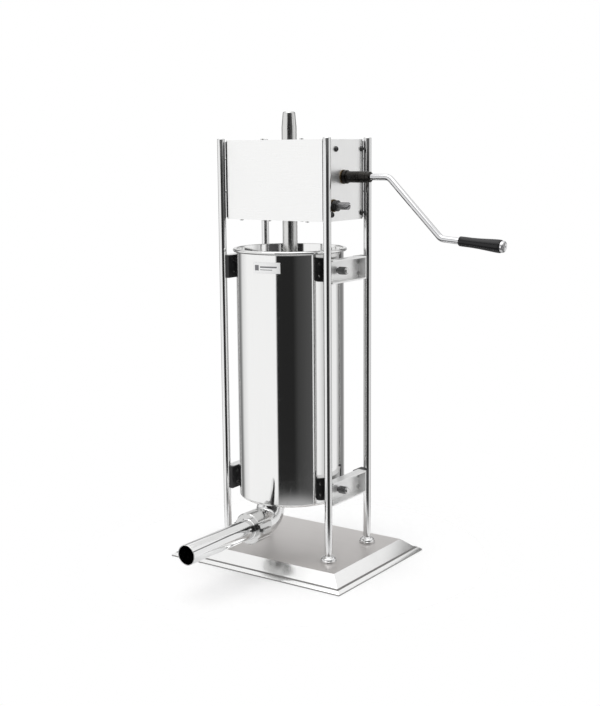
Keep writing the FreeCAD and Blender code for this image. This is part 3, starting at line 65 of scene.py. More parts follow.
FLAT = math.radians(0.5)         # faces that turn less than this are one face
TRIM = 1e-5                      # a sheet that stands on a plane is cut this far above it
UP = Vector((0.0, 0.0, 1.0))
FRONT = Vector((0.0, -1.0, 0.0))
RIGHT = Vector((1.0, 0.0, 0.0))
Point = Tuple[float, float]
Piece = bpy.types.Object
Tree = bpy.types.NodeTree
Node = bpy.types.Node
Socket = bpy.types.NodeSocket


# ---- Frame ----
@dataclass(frozen=True)
class Span:
    """Lowest and highest corner of a node at rest."""

    low: Vector
    high: Vector

    @classmethod
    def of(cls, node: str) -> "Span":
        """Span of a node of the frame.

        Args:
            node: name of the node.

        Returns:
            Its span in metres.
        """
        low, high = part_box(node)
        return cls(Vector(low), Vector(high))

    @property
    def centre(self) -> Vector:
        """Middle of the span."""
        return (self.low + self.high) / 2.0

    @property
    def size(self) -> Vector:
        """Extent along each axis."""
        return self.high - self.low


# ---- Modelling bench ----
class Bench:
    """Hand tools that shape one mesh at a time."""

    @staticmethod
    def clear() -> None:
        """Leave edit mode and deselect everything."""
        if bpy.context.object and bpy.context.object.mode != "OBJECT":
            bpy.ops.object.mode_set(mode="OBJECT")
        bpy.ops.object.select_all(action="DESELECT")

    @staticmethod
    def take(*pieces: Piece) -> None:
        """Select the pieces and make the first one active."""
        Bench.clear()
        for piece in pieces:
            piece.select_set(True)
        bpy.context.view_layer.objects.active = pieces[0]

    @staticmethod
    @contextmanager
    def editing(piece: Piece, level: str = "VERT") -> Iterator[None]:
        """Edit mode for one piece, with all of it selected."""
        Bench.take(piece)
        bpy.ops.object.mode_set(mode="EDIT")
        bpy.ops.mesh.select_mode(type=level)
        bpy.ops.mesh.select_all(action="SELECT")
        yield
        bpy.ops.object.mode_set(mode="OBJECT")

    @staticmethod
    def close(gap: float = SEAM) -> None:
        """Merge the points of the edited piece that meet and turn its faces outwards."""
        bpy.ops.mesh.select_all(action="SELECT")
        bpy.ops.mesh.remove_doubles(threshold=gap)
        bpy.ops.mesh.normals_make_consistent(inside=False)

    @staticmethod
    def start(name: str, add: Callable[..., object], scale: Sequence[float] = (1.0, 1.0, 1.0),
              **settings: object) -> Piece:
        """New piece from a primitive, with its place and scale put into its mesh."""
        Bench.clear()
        add(**settings)
        piece = bpy.context.object
        piece.name = name
        piece.scale = scale
        Bench.settle(piece)
        return piece

    @staticmethod
    def settle(piece: Piece) -> None:
        """Put the piece's place, turn and scale into its mesh."""
        Bench.take(piece)
        bpy.ops.object.transform_apply(location=True, rotation=True, scale=True)

    @staticmethod
    def aim(piece: Piece, at: Vector, along: Vector) -> None:
        """Turn a piece modelled along +Z to another direction and move it to its place.

        Args:
            piece: the piece, modelled about the origin.
            at: where its own origin goes.
            along: the direction that its +Z takes.
        """
        turn = UP.rotation_difference(along.normalized()).to_matrix().to_4x4()
        piece.data.transform(Matrix.Translation(at) @ turn)

    @staticmethod
    def turned(name: str, profile: Sequence[Point], at: Vector, along: Vector = UP,
               sides: int = 64, smooth: float = 0.0) -> Piece:
        """Turned part, drawn ring by ring.

        Args:
            name: name of the piece.
            profile: (distance, radius) steps; a first or last radius of 0 makes a pole, and a
                last step equal to the first closes a hollow part.
            at: place of distance 0 on the axis.
            along: direction of the axis.
            sides: number of vertices of a ring.
            smooth: angle in degrees below which faces are shaded smooth, or 0 to shade it later.

        Returns:
            The closed mesh piece.
        """
        distance, radius = profile[0][0], max(profile[0][1], POLE)
        piece = Bench.start(name, bpy.ops.mesh.primitive_circle_add, vertices=sides, radius=radius,
                            location=(0, 0, distance))
        with Bench.editing(piece):
            for next_distance, next_radius in profile[1:]:
                next_radius = max(next_radius, POLE)
                step = (0, 0, next_distance - distance)
                bpy.ops.mesh.extrude_region_move(TRANSFORM_OT_translate={"value": step})
                if next_radius != radius:
                    scale = next_radius / radius
                    bpy.ops.transform.resize(value=(scale, scale, 1),
                                             center_override=(0, 0, next_distance))
                distance, radius = next_distance, next_radius
            Bench.close(4 * POLE)
        Bench.aim(piece, at, along)
        if smooth:
            Bench.smooth(piece, smooth)
        return piece

    @staticmethod
    def slab(name: str, low: Vector, high: Vector) -> Piece:
        """Block between two corners, ready to be shaped."""
        return Bench.start(name, bpy.ops.mesh.primitive_cube_add, high - low, size=1.0,
                           location=(low + high) / 2.0)

    @staticmethod
    def refined(node: str, ease: float = 0.0, smooth: float = 32.0) -> Piece:
        """Copy of a node with its seams merged, its flats made whole and its edges eased.

        Args:
            node: the node that is copied.
            ease: width of the rounded edges, or 0 for none.
            smooth: angle in degrees below which faces are shaded smooth.

        Returns:
            The new piece, which replaces the node.
        """
        source = frame["nodes"][node]
        piece = bpy.data.objects.new(node + "_finished", source.data.copy())
        bpy.context.scene.collection.objects.link(piece)
        Bench.take(piece)
        bpy.ops.mesh.customdata_custom_splitnormals_clear()
        with Bench.editing(piece):
            bpy.ops.mesh.remove_doubles(threshold=SEAM)
            bpy.ops.mesh.dissolve_limited(angle_limit=FLAT)
        if ease > 0.0:
            Bench.ease(piece, ease)
        Bench.smooth(piece, smooth)
        if ease > 0.0:
            Bench.flatten(piece)
        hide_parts(node)
        return piece

    @staticmethod
    def work(piece: Piece, kind: str, **settings: object) -> None:
        """Apply one modifier of a kind to the piece, with its settings."""
        Bench.take(piece)
        tool = piece.modifiers.new(kind.lower(), kind)
        for name, value in settings.items():
            setattr(tool, name, value)
        bpy.ops.object.modifier_apply(modifier=tool.name)

    @staticmethod
    def ease(piece: Piece, width: float, segments: int = 3, angle: float = 38.0) -> None:
        """Round the piece's sharp edges."""
        Bench.work(piece, "BEVEL", width=width, segments=segments, limit_method="ANGLE",
                   angle_limit=math.radians(angle), use_clamp_overlap=True, miter_outer="MITER_ARC")

    @staticmethod
    def flatten(piece: Piece) -> None:
        """Let the large flats rule the shading, so that they stay flat beside rounded edges."""
        Bench.work(piece, "WEIGHTED_NORMAL", mode="FACE_AREA", weight=100, keep_sharp=True)

    @staticmethod
    def thicken(piece: Piece, wall: float) -> None:
        """Give a sheet its wall, on the inner side."""
        Bench.work(piece, "SOLIDIFY", thickness=wall, offset=-1.0, use_even_offset=True)

    @staticmethod
    def cut(piece: Piece, cutter: Piece) -> None:
        """Take the cutter's shape out of the piece and throw the cutter away."""
        Bench.work(piece, "BOOLEAN", operation="DIFFERENCE", solver="EXACT", object=cutter)
        bpy.data.objects.remove(cutter)

    @staticmethod
    def slot(piece: Piece, half: Vector, at: Vector, turn: float) -> None:
        """Cut a slot across the end of a piece that lies along X.

        Args:
            piece: the piece that is cut.
            half: half the slot's depth, length and width.
            at: middle of the piece's end.
            turn: turn of the slot about X in degrees.
        """
        slot = Bench.slab("slot", -half, half)
        spin = Matrix.Rotation(math.radians(turn), 4, "X")
        slot.data.transform(Matrix.Translation(at) @ spin)
        Bench.cut(piece, slot)

    @staticmethod
    def smooth(piece: Piece, angle: float = 32.0) -> None:
        """Smooth shading with hard edges kept above the angle."""
        Bench.take(piece)
        bpy.ops.object.shade_smooth_by_angle(angle=math.radians(angle))

    @staticmethod
    def copy(piece: Piece, matrix: Matrix, name: str) -> Piece:
        """Copy with its own mesh, moved by the matrix."""
        twin = bpy.data.objects.new(name, piece.data.copy())
        bpy.context.scene.collection.objects.link(twin)
        twin.data.transform(matrix)
        if matrix.determinant() < 0.0:
            twin.data.flip_normals()
        return twin

    @staticmethod
    def join(pieces: Sequence[Piece], name: str) -> Piece:
        """Join pieces into one."""
        Bench.take(*pieces)
        if len(pieces) > 1:
            bpy.ops.object.join()
        whole = bpy.context.view_layer.objects.active
        whole.name = name
        return whole

    @staticmethod
    def spread(piece: Piece, moves: Iterable[Matrix], name: str) -> Piece:
        """One piece made of copies of a model, which is thrown away."""
        twins = [Bench.copy(piece, move, name + "_part") for move in moves]
        bpy.data.objects.remove(piece)
        return Bench.join(twins, name)


# ---- Finishes ----
class Lay(Enum):
    """How far a grain is drawn out along each axis; small numbers run along that axis."""

    NONE = (60.0, 60.0, 60.0)
    ALONG_X = (14.0, 900.0, 900.0)
    ALONG_Y = (900.0, 14.0, 900.0)
    ALONG_Z = (900.0, 900.0, 14.0)


def add_node(tree: Tree, kind: str,
             inputs: Optional[Dict[Union[str, int], object]] = None,
             **settings: object) -> Node:
    """Add a shader node to a tree, with its settings and inputs.

    Args:
        tree: the tree that it goes into.
        kind: what follows ShaderNode in the node's type.
        inputs: value of each input, or the socket that feeds it.
        settings: the node's own settings.

    Returns:
        The node.
    """
    node = tree.nodes.new("ShaderNode" + kind)
    for name, value in settings.items():
        setattr(node, name, value)
    for key, value in (inputs or {}).items():
        if isinstance(value, Socket):
            tree.links.new(value, node.inputs[key])
        else:
            node.inputs[key].default_value = value
    return node


def calc(tree: Tree, operation: str, *values: object) -> Socket:
    """Result of a math node; each value is a number or a socket."""
    return add_node(tree, "Math", dict(enumerate(values)), operation=operation).outputs[0]


def blend(tree: Tree, share: Socket, first: object, second: object) -> Socket:
    """Colour between two colours or colour sockets."""
    return add_node(tree, "Mix", {"Factor": share, "A": first, "B": second},
                    data_type="RGBA").outputs["Result"]


class Effects:
    """Shader node groups that the finishes share. Each takes a place and gives a mask."""

    hairline_width: float = 0.012
    bend_amount: Tuple[float, float, float] = (0.05, 0.05, 0.05)

    @staticmethod
    def _group(name: str, values: Dict[str, object]) -> Tuple[Tree, object]:
        """Group with a place, further inputs and a mask.

        Args:
            name: name of the group.
            values: first value of each further input; three numbers make a vector.

        Returns:
            The group and the sockets of its inputs.
        """
        tree = bpy.data.node_groups.new(name, "ShaderNodeTree")
        tree.interface.new_socket("Vector", in_out="INPUT", socket_type="NodeSocketVector")
        for label, value in values.items():
            kind = "NodeSocketFloat" if isinstance(value, float) else "NodeSocketVector"
            socket = tree.interface.new_socket(label, in_out="INPUT", socket_type=kind)
            socket.default_value = value
        tree.interface.new_socket("Mask", in_out="OUTPUT", socket_type="NodeSocketFloat")
        return tree, tree.nodes.new("NodeGroupInput").outputs

    @staticmethod
    def _finish(tree: Tree, level: Node) -> Tree:
        """Give the group its mask."""
        tree.links.new(level.outputs["Result"], tree.nodes.new("NodeGroupOutput").inputs["Mask"])
        return tree

    @classmethod
    @lru_cache(maxsize=None)
    def grain(cls) -> Tree:
        """Fine drawn-out lines of brushed or turned metal."""
        tree, given = cls._group("drawn_grain", {"Stretch": Lay.NONE.value})
        stretch = add_node(tree, "VectorMath", {0: given["Vector"], 1: given["Stretch"]},
                           operation="MULTIPLY")
        noise = add_node(tree, "TexNoise", {"Vector": stretch.outputs[0], "Scale": 1.0, "Detail": 5.0,
                                            "Roughness": 0.65})
        return cls._finish(tree, add_node(tree, "MapRange", {
            "Value": noise.outputs["Fac"], "From Min": 0.3, "From Max": 0.7}))

    @classmethod
    @lru_cache(maxsize=None)
    def smudges(cls) -> Tree:
        """Soft clouds that handling and wiping leave on a surface."""
        tree, given = cls._group("wiped_clouds", {"Scale": 18.0, "Cover": 0.5})
        noise = add_node(tree, "TexNoise", {"Vector": given["Vector"], "Scale": given["Scale"],
                                            "Detail": 3.0, "Distortion": 0.8})
        return cls._finish(tree, add_node(tree, "MapRange", {
            "Value": noise.outputs["Fac"], "From Min": given["Cover"], "From Max": 0.85},
            interpolation_type="SMOOTHSTEP"))

    @classmethod
    @lru_cache(maxsize=None)
    def scratches(cls) -> Tree:
        """Sparse hairline scratches along the edges of bent cells."""
        tree, given = cls._group("hairlines", {"Scale": 22.0})
        bend = add_node(tree, "TexNoise", {"Vector": given["Vector"], "Scale": 9.0})
        push = add_node(tree, "VectorMath", {0: bend.outputs["Color"], 1: cls.bend_amount,
                                             2: given["Vector"]}, operation="MULTIPLY_ADD")
        cells = add_node(tree, "TexVoronoi", {"Vector": push.outputs[0], "Scale": given["Scale"]},
                         feature="DISTANCE_TO_EDGE")
        return cls._finish(tree, add_node(tree, "MapRange", {
            "Value": cells.outputs["Distance"], "From Min": 0.0, "From Max": cls.hairline_width,
            "To Min": 1.0, "To Max": 0.0}))


COAT_ROUGHNESS = 0.06
CLOUD_COVER = 0.42
SCRATCH_SCALE = 1.3              # cells of scratches against clouds
BUMP_DEPTH = 0.2 * MM


@dataclass(frozen=True)
class Finish:
    """One surface finish with its procedural detail."""

    name: str
    slot: str
    color: Tuple[float, float, float]
    metallic: float = 1.0
    roughness: float = 0.2
    lay: Lay = Lay.NONE
    grain: Tuple[float, float, float] = (0.05, 0.05, 0.05)    # in roughness, height and tint
    cloud_scale: float = 18.0
    cloud_rough: float = 0.05
    scratch_rough: float = 0.0
    coat: float = 0.0
    specular: float = 0.5

    def build(self) -> bpy.types.Material:
        """Make the material once and return it."""
        title = "finish_" + self.name
        made = bpy.data.materials.get(title)
        if made:
            return made
        made = bpy.data.materials.new(title)
        made.use_nodes = True
        tree = made.node_tree
        shader = tree.nodes["Principled BSDF"]
        shader.inputs["Metallic"].default_value = self.metallic
        shader.inputs["Specular IOR Level"].default_value = self.specular
        shader.inputs["Coat Weight"].default_value = self.coat
        shader.inputs["Coat Roughness"].default_value = COAT_ROUGHNESS
        where = add_node(tree, "TexCoord").outputs["Object"]
        grain = self._effect(tree, Effects.grain(), where, {"Stretch": self.lay.value})
        cloud = self._effect(tree, Effects.smudges(), where,
                             {"Scale": self.cloud_scale, "Cover": CLOUD_COVER})
        grain_rough, grain_bump, grain_tint = self.grain
        shade = [c * (1.0 - grain_tint) for c in self.color]
        tint = blend(tree, grain, (*shade, 1.0), (*self.color, 1.0))
        tree.links.new(tint, shader.inputs["Base Color"])
        rough = calc(tree, "MULTIPLY_ADD", grain, grain_rough, self.roughness)
        rough = calc(tree, "MULTIPLY_ADD", cloud, self.cloud_rough, rough)
        if self.scratch_rough > 0.0:
            lines = self._effect(tree, Effects.scratches(), where,
                                 {"Scale": self.cloud_scale * SCRATCH_SCALE})
            rough = calc(tree, "MULTIPLY_ADD", lines, self.scratch_rough, rough)
        tree.links.new(rough, shader.inputs["Roughness"])
        bump = add_node(tree, "Bump", {"Strength": grain_bump, "Distance": BUMP_DEPTH, "Height": grain})
        tree.links.new(bump.outputs["Normal"], shader.inputs["Normal"])
        return made

    @staticmethod
    def _effect(tree: Tree, group: Tree, where: Socket,
                values: Dict[str, object]) -> Socket:
        """Place a shared effect in the material and return its mask."""
        node = add_node(tree, "Group", node_tree=group)
        tree.links.new(where, node.inputs["Vector"])
        for label, value in values.items():
            node.inputs[label].default_value = value
        return node.outputs["Mask"]

    def dress(self, piece: Piece) -> None:
        """Give the whole piece this finish."""
        piece.data.materials.clear()
        piece.data.materials.append(self.build())
        for face in piece.data.polygons:
            face.material_index = 0


MIRROR = Finish("mirror_steel", "mirror_steel", (0.88, 0.88, 0.875), roughness=0.05,
                lay=Lay.ALONG_Z, grain=(0.02, 0.004, 0.02), cloud_rough=0.03, scratch_rough=0.03)
TUBE_MIRROR = Finish("tube_mirror", "mirror_steel", (0.84, 0.84, 0.84), roughness=0.06,
                     lay=Lay.ALONG_Y, grain=(0.02, 0.006, 0.03), cloud_rough=0.03,
                     scratch_rough=0.04)
CAST_MIRROR = Finish("cast_polish", "mirror_steel", (0.80, 0.80, 0.80), roughness=0.11,
                     grain=(0.03, 0.02, 0.03), cloud_rough=0.04)
POLISHED = Finish("polished_rod", "polished_steel", (0.82, 0.82, 0.82), roughness=0.08,
                  lay=Lay.ALONG_Z, grain=(0.03, 0.008, 0.03), cloud_rough=0.03)
RACK_STEEL = Finish("rack_steel", "polished_steel", (0.72, 0.72, 0.71), roughness=0.16,
                    lay=Lay.ALONG_Z, grain=(0.07, 0.02, 0.07), cloud_rough=0.05)
NUT_STEEL = Finish("nut_steel", "polished_steel", (0.66, 0.66, 0.655), roughness=0.10,
                   grain=(0.05, 0.015, 0.04), cloud_rough=0.05)
COVER = Finish("satin_cover", "satin_cover", (0.96, 0.96, 0.955), roughness=0.26, lay=Lay.ALONG_X,
               grain=(0.06, 0.008, 0.03), cloud_rough=0.04)
SIDE = Finish("brushed_sheet", "brushed_sheet", (0.94, 0.94, 0.935), metallic=0.85, roughness=0.28,
              lay=Lay.ALONG_Z, grain=(0.10, 0.03, 0.06), cloud_rough=0.05)
BASE_TOP = Finish("base_satin", "base_steel", (0.74, 0.715, 0.70), roughness=0.30, lay=Lay.ALONG_X,
                  grain=(0.10, 0.03, 0.08), cloud_rough=0.06)
BASE_BEVEL = Finish("base_bright", "base_steel", (0.90, 0.90, 0.895), roughness=0.16,
                    lay=Lay.ALONG_X, grain=(0.06, 0.02, 0.05), cloud_rough=0.05)
# painted shade: dark colour on the base's groove under the crease and the foot of its lip, standing in
# for the shadow and dark reflections there
CREASE_SHADE_PAINT = Finish("crease_shadow", "base_steel", (0.26, 0.255, 0.25), metallic=0.6, roughness=0.45,
               lay=Lay.ALONG_X, grain=(0.10, 0.02, 0.25))
RAIL = Finish("rail_steel", "rail_steel", (0.90, 0.90, 0.895), metallic=0.72, roughness=0.30,
              lay=Lay.ALONG_Y, grain=(0.05, 0.006, 0.05), cloud_rough=0.05)
BRIGHT = Finish("bright_screw", "bright_steel", (0.75, 0.75, 0.745), roughness=0.18,
                grain=(0.08, 0.02, 0.06), cloud_scale=60.0)
KNURL = Finish("knurled_steel", "bright_steel", (0.34, 0.34, 0.345), roughness=0.24,
               grain=(0.10, 0.04, 0.2), cloud_scale=80.0)
# dark steel; on the corner columns this dark colour is painted shade for the gap between the front
# cover and the post
DARK_STEEL_AND_SHADE = Finish("dark_steel", "dark_steel", (0.20, 0.20, 0.21), roughness=0.38, lay=Lay.ALONG_Z,
                    grain=(0.10, 0.04, 0.2))
DARK_SCREW = Finish("burnished_screw", "dark_screw", (0.10, 0.10, 0.10), roughness=0.28,
                    grain=(0.12, 0.05, 0.25), cloud_scale=90.0)
HUB = Finish("hub_steel", "hub_steel", (0.045, 0.043, 0.04), roughness=0.22, lay=Lay.ALONG_X,
             grain=(0.10, 0.05, 0.25), cloud_scale=60.0)
CHROME = Finish("chromed_rod", "chromed_rod", (0.70, 0.70, 0.71), roughness=0.08, lay=Lay.ALONG_X,
                grain=(0.03, 0.008, 0.03), cloud_scale=40.0)
GEAR = Finish("greased_gear", "gear_steel", (0.46, 0.45, 0.43), roughness=0.26,
              grain=(0.14, 0.05, 0.25), cloud_scale=70.0, cloud_rough=0.12, coat=0.3)
BRONZE = Finish("oiled_bronze", "bronze", (0.16, 0.115, 0.06), roughness=0.40,
                grain=(0.15, 0.10, 0.25), cloud_scale=90.0)
NYLON = Finish("moulded_nylon", "black_nylon", (0.016, 0.016, 0.017), metallic=0.0, roughness=0.42,
               grain=(0.10, 0.25, 0.3), cloud_scale=50.0)
GRIP = Finish("glossy_grip", "black_grip", (0.010, 0.010, 0.011), metallic=0.0, roughness=0.16,
              grain=(0.05, 0.03, 0.2), cloud_scale=60.0, cloud_rough=0.08, specular=0.3)
RUBBER = Finish("foot_rubber", "black_rubber", (0.022, 0.022, 0.022), metallic=0.0, roughness=0.72,
                grain=(0.10, 0.4, 0.3), cloud_scale=60.0)
SILICONE = Finish("food_silicone", "white_silicone", (0.78, 0.77, 0.73), metallic=0.0,
                  roughness=0.45, grain=(0.08, 0.15, 0.05))
FOIL = Finish("plain_foil", "label_foil", (0.86, 0.86, 0.86), metallic=0.25, roughness=0.38,
              lay=Lay.ALONG_X, grain=(0.06, 0.02, 0.06))
FOIL_INK = Finish("foil_ink", "label_foil", (0.16, 0.16, 0.17), metallic=0.0, roughness=0.38,
                  grain=(0.06, 0.02, 0.1))


def settle(piece: Piece, finish: Finish, body: str, node: Optional[str] = None) -> None:
    """Dress a finished piece and let it ride.

    Args:
        piece: the modelled piece.
        finish: its finish.
        body: the body it rides on.
        node: the node it stands for, if any.
    """
    finish.dress(piece)
    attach(piece, body)
    if node:
        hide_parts(node)
    LOG.info("made %s on %s", piece.name, body)


def refine(finish: Finish, body: str, nodes: Iterable[str], ease: float = 0.0,
           smooth: float = 32.0) -> None:
    """Refine CAD nodes and settle them.

    Args:
        finish: their finish.
        body: the body they ride on.
        nodes: names of the nodes.
        ease: width of the rounded edges, or 0 for none.
        smooth: angle in degrees below which faces are shaded smooth.
    """
    for node in nodes:
        settle(Bench.refined(node, ease, smooth), finish, body)


def keep(nodes: Iterable[str], finish: Finish) -> None:
    """Give CAD nodes that stay a finish."""
    for node in nodes:
        finish.dress(frame["nodes"][node])
        LOG.info("kept %s", node)


def arc(centre: Point, radius: float, start: float, end: float, steps: int) -> List[Point]:
    """Points of an arc in a profile.

    Args:
        centre: (distance, radius) of the arc's centre.
        radius: radius of the arc.
        start: first angle in degrees, 0 along +distance and 90 outwards.
        end: last angle in degrees.
        steps: number of spans.

    Returns:
        The points, both ends included.
    """
    points = []
    for i in range(steps + 1):
        angle = math.radians(start + (end - start) * i / steps)
        points.append((centre[0] + radius * math.cos(angle), centre[1] + radius * math.sin(angle)))
    return points


# ---- Base and posts ----
@dataclass
class Base:
    """Pressed sheet base with two bevels, its feet and their screws."""

    bevel_upper: float = 14.6 * MM
    bevel_lower: float = 7.7 * MM
    crease: float = 5.5 * MM
    sheet: float = 1.5 * MM
    press_radius: float = 0.35 * MM
    groove: float = 1.1 * MM
    lip: float = 1.6 * MM
    lip_share: float = 0.9           # share of the lip that lies in shadow
    level_normal: float = 0.9        # a face whose normal rises more than this lies flat
    slack: float = 0.05 * MM

    def build(self) -> None:
        """Model the tray and dress the feet."""
        span = Span.of("base_plate")
        reach = span.size / 2.0
        half_x = reach.x - self.bevel_upper - self.bevel_lower
        half_y = reach.y - self.bevel_upper - self.bevel_lower
        tray = self._tray(span, half_x, half_y)
        settle(tray, BASE_TOP, "frame", "base_plate")
        for finish in (BASE_BEVEL, CREASE_SHADE_PAINT):
            tray.data.materials.append(finish.build())
        for face in tray.data.polygons:
            inside = abs(face.center.x) < half_x and abs(face.center.y) < half_y
            depth = self.crease - face.center.z
            if inside and face.normal.z > self.level_normal:
                face.material_index = 0
            # the groove under the crease and the foot of the lip get the painted shade
            elif (-self.slack < depth < self.groove + self.slack
                  or face.center.z < span.low.z + self.lip * self.lip_share):
                face.material_index = 2
            else:
                face.material_index = 1
        keep(["rubber_feet"], RUBBER)
        keep(["foot_screws", "post_nuts"], BRIGHT)

    def _tray(self, span: Span, half_x: float, half_y: float) -> Piece:
        """Sheet that is drawn down from the flat top over two bevels, a groove and a lip.

        Args:
            span: span of the whole base.
            half_x: half the width of the flat top.
            half_y: half its depth.

        Returns:
            The closed sheet.
        """
        tray = Bench.start("base_tray", bpy.ops.mesh.primitive_plane_add, (half_x, half_y, 1.0),
                           size=2.0, location=(0, 0, span.high.z))
        x, y, z = half_x, half_y, span.high.z
        with Bench.editing(tray, "EDGE"):
            for width, level in ((self.bevel_upper, self.crease),
                                 (self.groove, self.crease - self.groove),
                                 (self.groove * 2.0, self.crease - self.groove * 0.4),
                                 (self.bevel_lower - self.groove * 3.0, span.low.z + self.lip),
                                 (0.0, span.low.z)):
                bpy.ops.mesh.extrude_edges_move(TRANSFORM_OT_translate={"value": (0, 0, level - z)})
                scale = ((x + width) / x, (y + width) / y, 1.0)
                bpy.ops.transform.resize(value=scale, center_override=(0, 0, level))
                x, y, z = x + width, y + width, level
            bpy.ops.mesh.select_all(action="SELECT")
            bpy.ops.mesh.normals_make_consistent(inside=False)
        Bench.thicken(tray, self.sheet)
        with Bench.editing(tray):
            # the lip is cut flat where it stands on the table
            bpy.ops.mesh.bisect(plane_co=(0, 0, span.low.z + TRIM), plane_no=(0, 0, -1),
                                clear_outer=True, use_fill=True)
        Bench.ease(tray, self.press_radius, segments=4, angle=8.0)
        Bench.smooth(tray, 40.0)
        return tray


@dataclass
class Posts:
    """Four polished posts and the turned collars at their feet."""

    chamfer: float = 0.9 * MM
    collar_waist: float = 6.2 * MM
    collar_edge: float = 0.4 * MM
    collar_step: float = 0.5 * MM

    def build(self) -> None:
        """Model the posts and collars."""
        base_z = Span.of("base_plate").high.z
        for node in ("posts_front", "posts_rear"):
            span = Span.of(node)
            radius = span.size.y / 2.0
            height = span.high.z - base_z
            post = Bench.turned("post_model", [
                (0.0, 0.0), (0.0, radius), (height * 0.5, radius), (height - self.chamfer, radius),
                (height - self.chamfer * 0.4, radius - self.chamfer * 0.25),
                (height, radius - self.chamfer), (height, 0.0)], Vector((0, 0, base_z)), sides=48,
                smooth=40.0)
            places = [Matrix.Translation((x, span.centre.y, 0.0))
                      for x in (span.low.x + radius, span.high.x - radius)]
            settle(Bench.spread(post, places, node + "_polished"), POLISHED, "frame", node)
        self._collars(base_z)

    def _collars(self, base_z: float) -> None:
        """Domed collars with a fine bead where they meet the post."""
        span = Span.of("post_collars")
        height = span.size.z
        front, rear = Span.of("posts_front"), Span.of("posts_rear")
        post_r = front.size.y / 2.0
        radius = front.centre.y - span.low.y
        edge, dome = self.collar_edge, radius - self.collar_step
        rim, waist = height * 0.34, self.collar_waist
        profile = [(0.0, post_r), (0.0, radius - edge), (edge, radius), (height * 0.28, radius),
                   (rim, dome)]
        profile += arc((rim, waist), dome - waist, 90.0, 14.0, 8)
        profile += [(height, waist - 0.2 * MM), (height, post_r), (0.0, post_r)]
        collar = Bench.turned("collar_model", profile, Vector((0, 0, base_z)), sides=56, smooth=35.0)
        places = [Matrix.Translation((x, y, 0.0))
                  for y in (front.centre.y, rear.centre.y)
                  for x in (front.low.x + post_r, front.high.x - post_r)]
        settle(Bench.spread(collar, places, "post_collars_turned"), POLISHED, "frame", "post_collars")


# ---- Gear housing ----
@dataclass
class Housing:
    """Sheet covers of the gear housing with their screws, and the frame inside it."""

    edge: float = 0.7 * MM
    recess_width: float = 1.0 * MM
    recess_depth: float = 1.1 * MM
    recess_turn: float = 20.0        # degrees
    screw_r: float = 3.5 * MM
    screw_edge: float = 0.12 * MM
    screw_spin: float = 31.0         # degrees from one screw to the next
    screw_apart: float = 7.0 * MM    # points of one head lie nearer together than this

    def build(self) -> None:
        """Finish the covers and model the screw heads."""
        refine(COVER, "frame", ("front_cover", "rear_cover"), self.edge)
        refine(SIDE, "frame", ("side_plate_left", "side_plate_right"), self.edge * 0.7)
        refine(SIDE, "frame", ("top_plate", "bottom_plate"), self.edge * 0.6)
        refine(DARK_STEEL_AND_SHADE, "frame", ("bracket_left", "bracket_right"), self.edge * 0.5)
        # painted shade: the corner columns are coloured dark so that the gap between cover and post
        # reads dark
        keep(["corner_columns"], DARK_STEEL_AND_SHADE)
        keep(["column_screws", "cover_screws", "bracket_screws"], BRIGHT)
        keep(["shaft_bushes"], BRONZE)
        keep(["rack_guides", "rack_pad"], NYLON)
        self._side_screws()

    def _side_screws(self) -> None:
        """Pan-head screws with a cross recess on both side plates."""
        node = frame["nodes"]["side_screws"]
        outer = Span.of("side_screws").high.x
        face = Span.of("side_plate_right").high.x
        head = outer - face
        centres = sorted({(round(y, 4), round(z, 4)) for y, z in self._head_centres(node, outer)})
        radius = self.screw_r
        profile = [(0.0, 0.0), (0.0, radius), (head * 0.35, radius)]
        profile += arc((head * 0.35, radius * 0.62), radius * 0.38, 80.0, 20.0, 4)
        profile += [(head - 0.05 * MM, radius * 0.7), (head, radius * 0.5), (head, 0.0)]
        screw = Bench.turned("screw_model", profile, Vector((face, 0, 0)), RIGHT, sides=40)
        half = Vector((self.recess_depth, radius * 0.62, self.recess_width * 0.5))
        for turn in (0.0, 90.0):
            Bench.slot(screw, half, Vector((outer, 0, 0)), turn + self.recess_turn)
        Bench.ease(screw, self.screw_edge, segments=2)
        Bench.smooth(screw, 35.0)
        moves = []
        for index, (y, z) in enumerate(centres):
            spin = Matrix.Rotation(math.radians(self.screw_spin * index), 4, "X")
            move = Matrix.Translation((0, y, z)) @ spin
            moves += [move, Matrix.Scale(-1.0, 4, RIGHT) @ move]
        settle(Bench.spread(screw, moves, "side_screw_heads"), DARK_SCREW, "frame", "side_screws")

    def _head_centres(self, node: Piece, outer: float) -> List[Point]:
        """Centres of the right-hand screw heads, from the loose parts of their node.

        Args:
            node: the node with all side screws.
            outer: x of the outer face of the heads.

        Returns:
            (y, z) of each head.
        """
        heads: List[List[Vector]] = []
        tops = [v.co for v in node.data.vertices if v.co.x > outer - 0.02 * MM]
        for point in tops:
            for group in heads:
                if (group[0] - point).length < self.screw_apart:
                    group.append(point)
                    break
            else:
                heads.append([point])
        centres = []
        for group in heads:
            ys, zs = [p.y for p in group], [p.z for p in group]
            centres.append(((min(ys) + max(ys)) / 2.0, (min(zs) + max(zs)) / 2.0))
        return centres


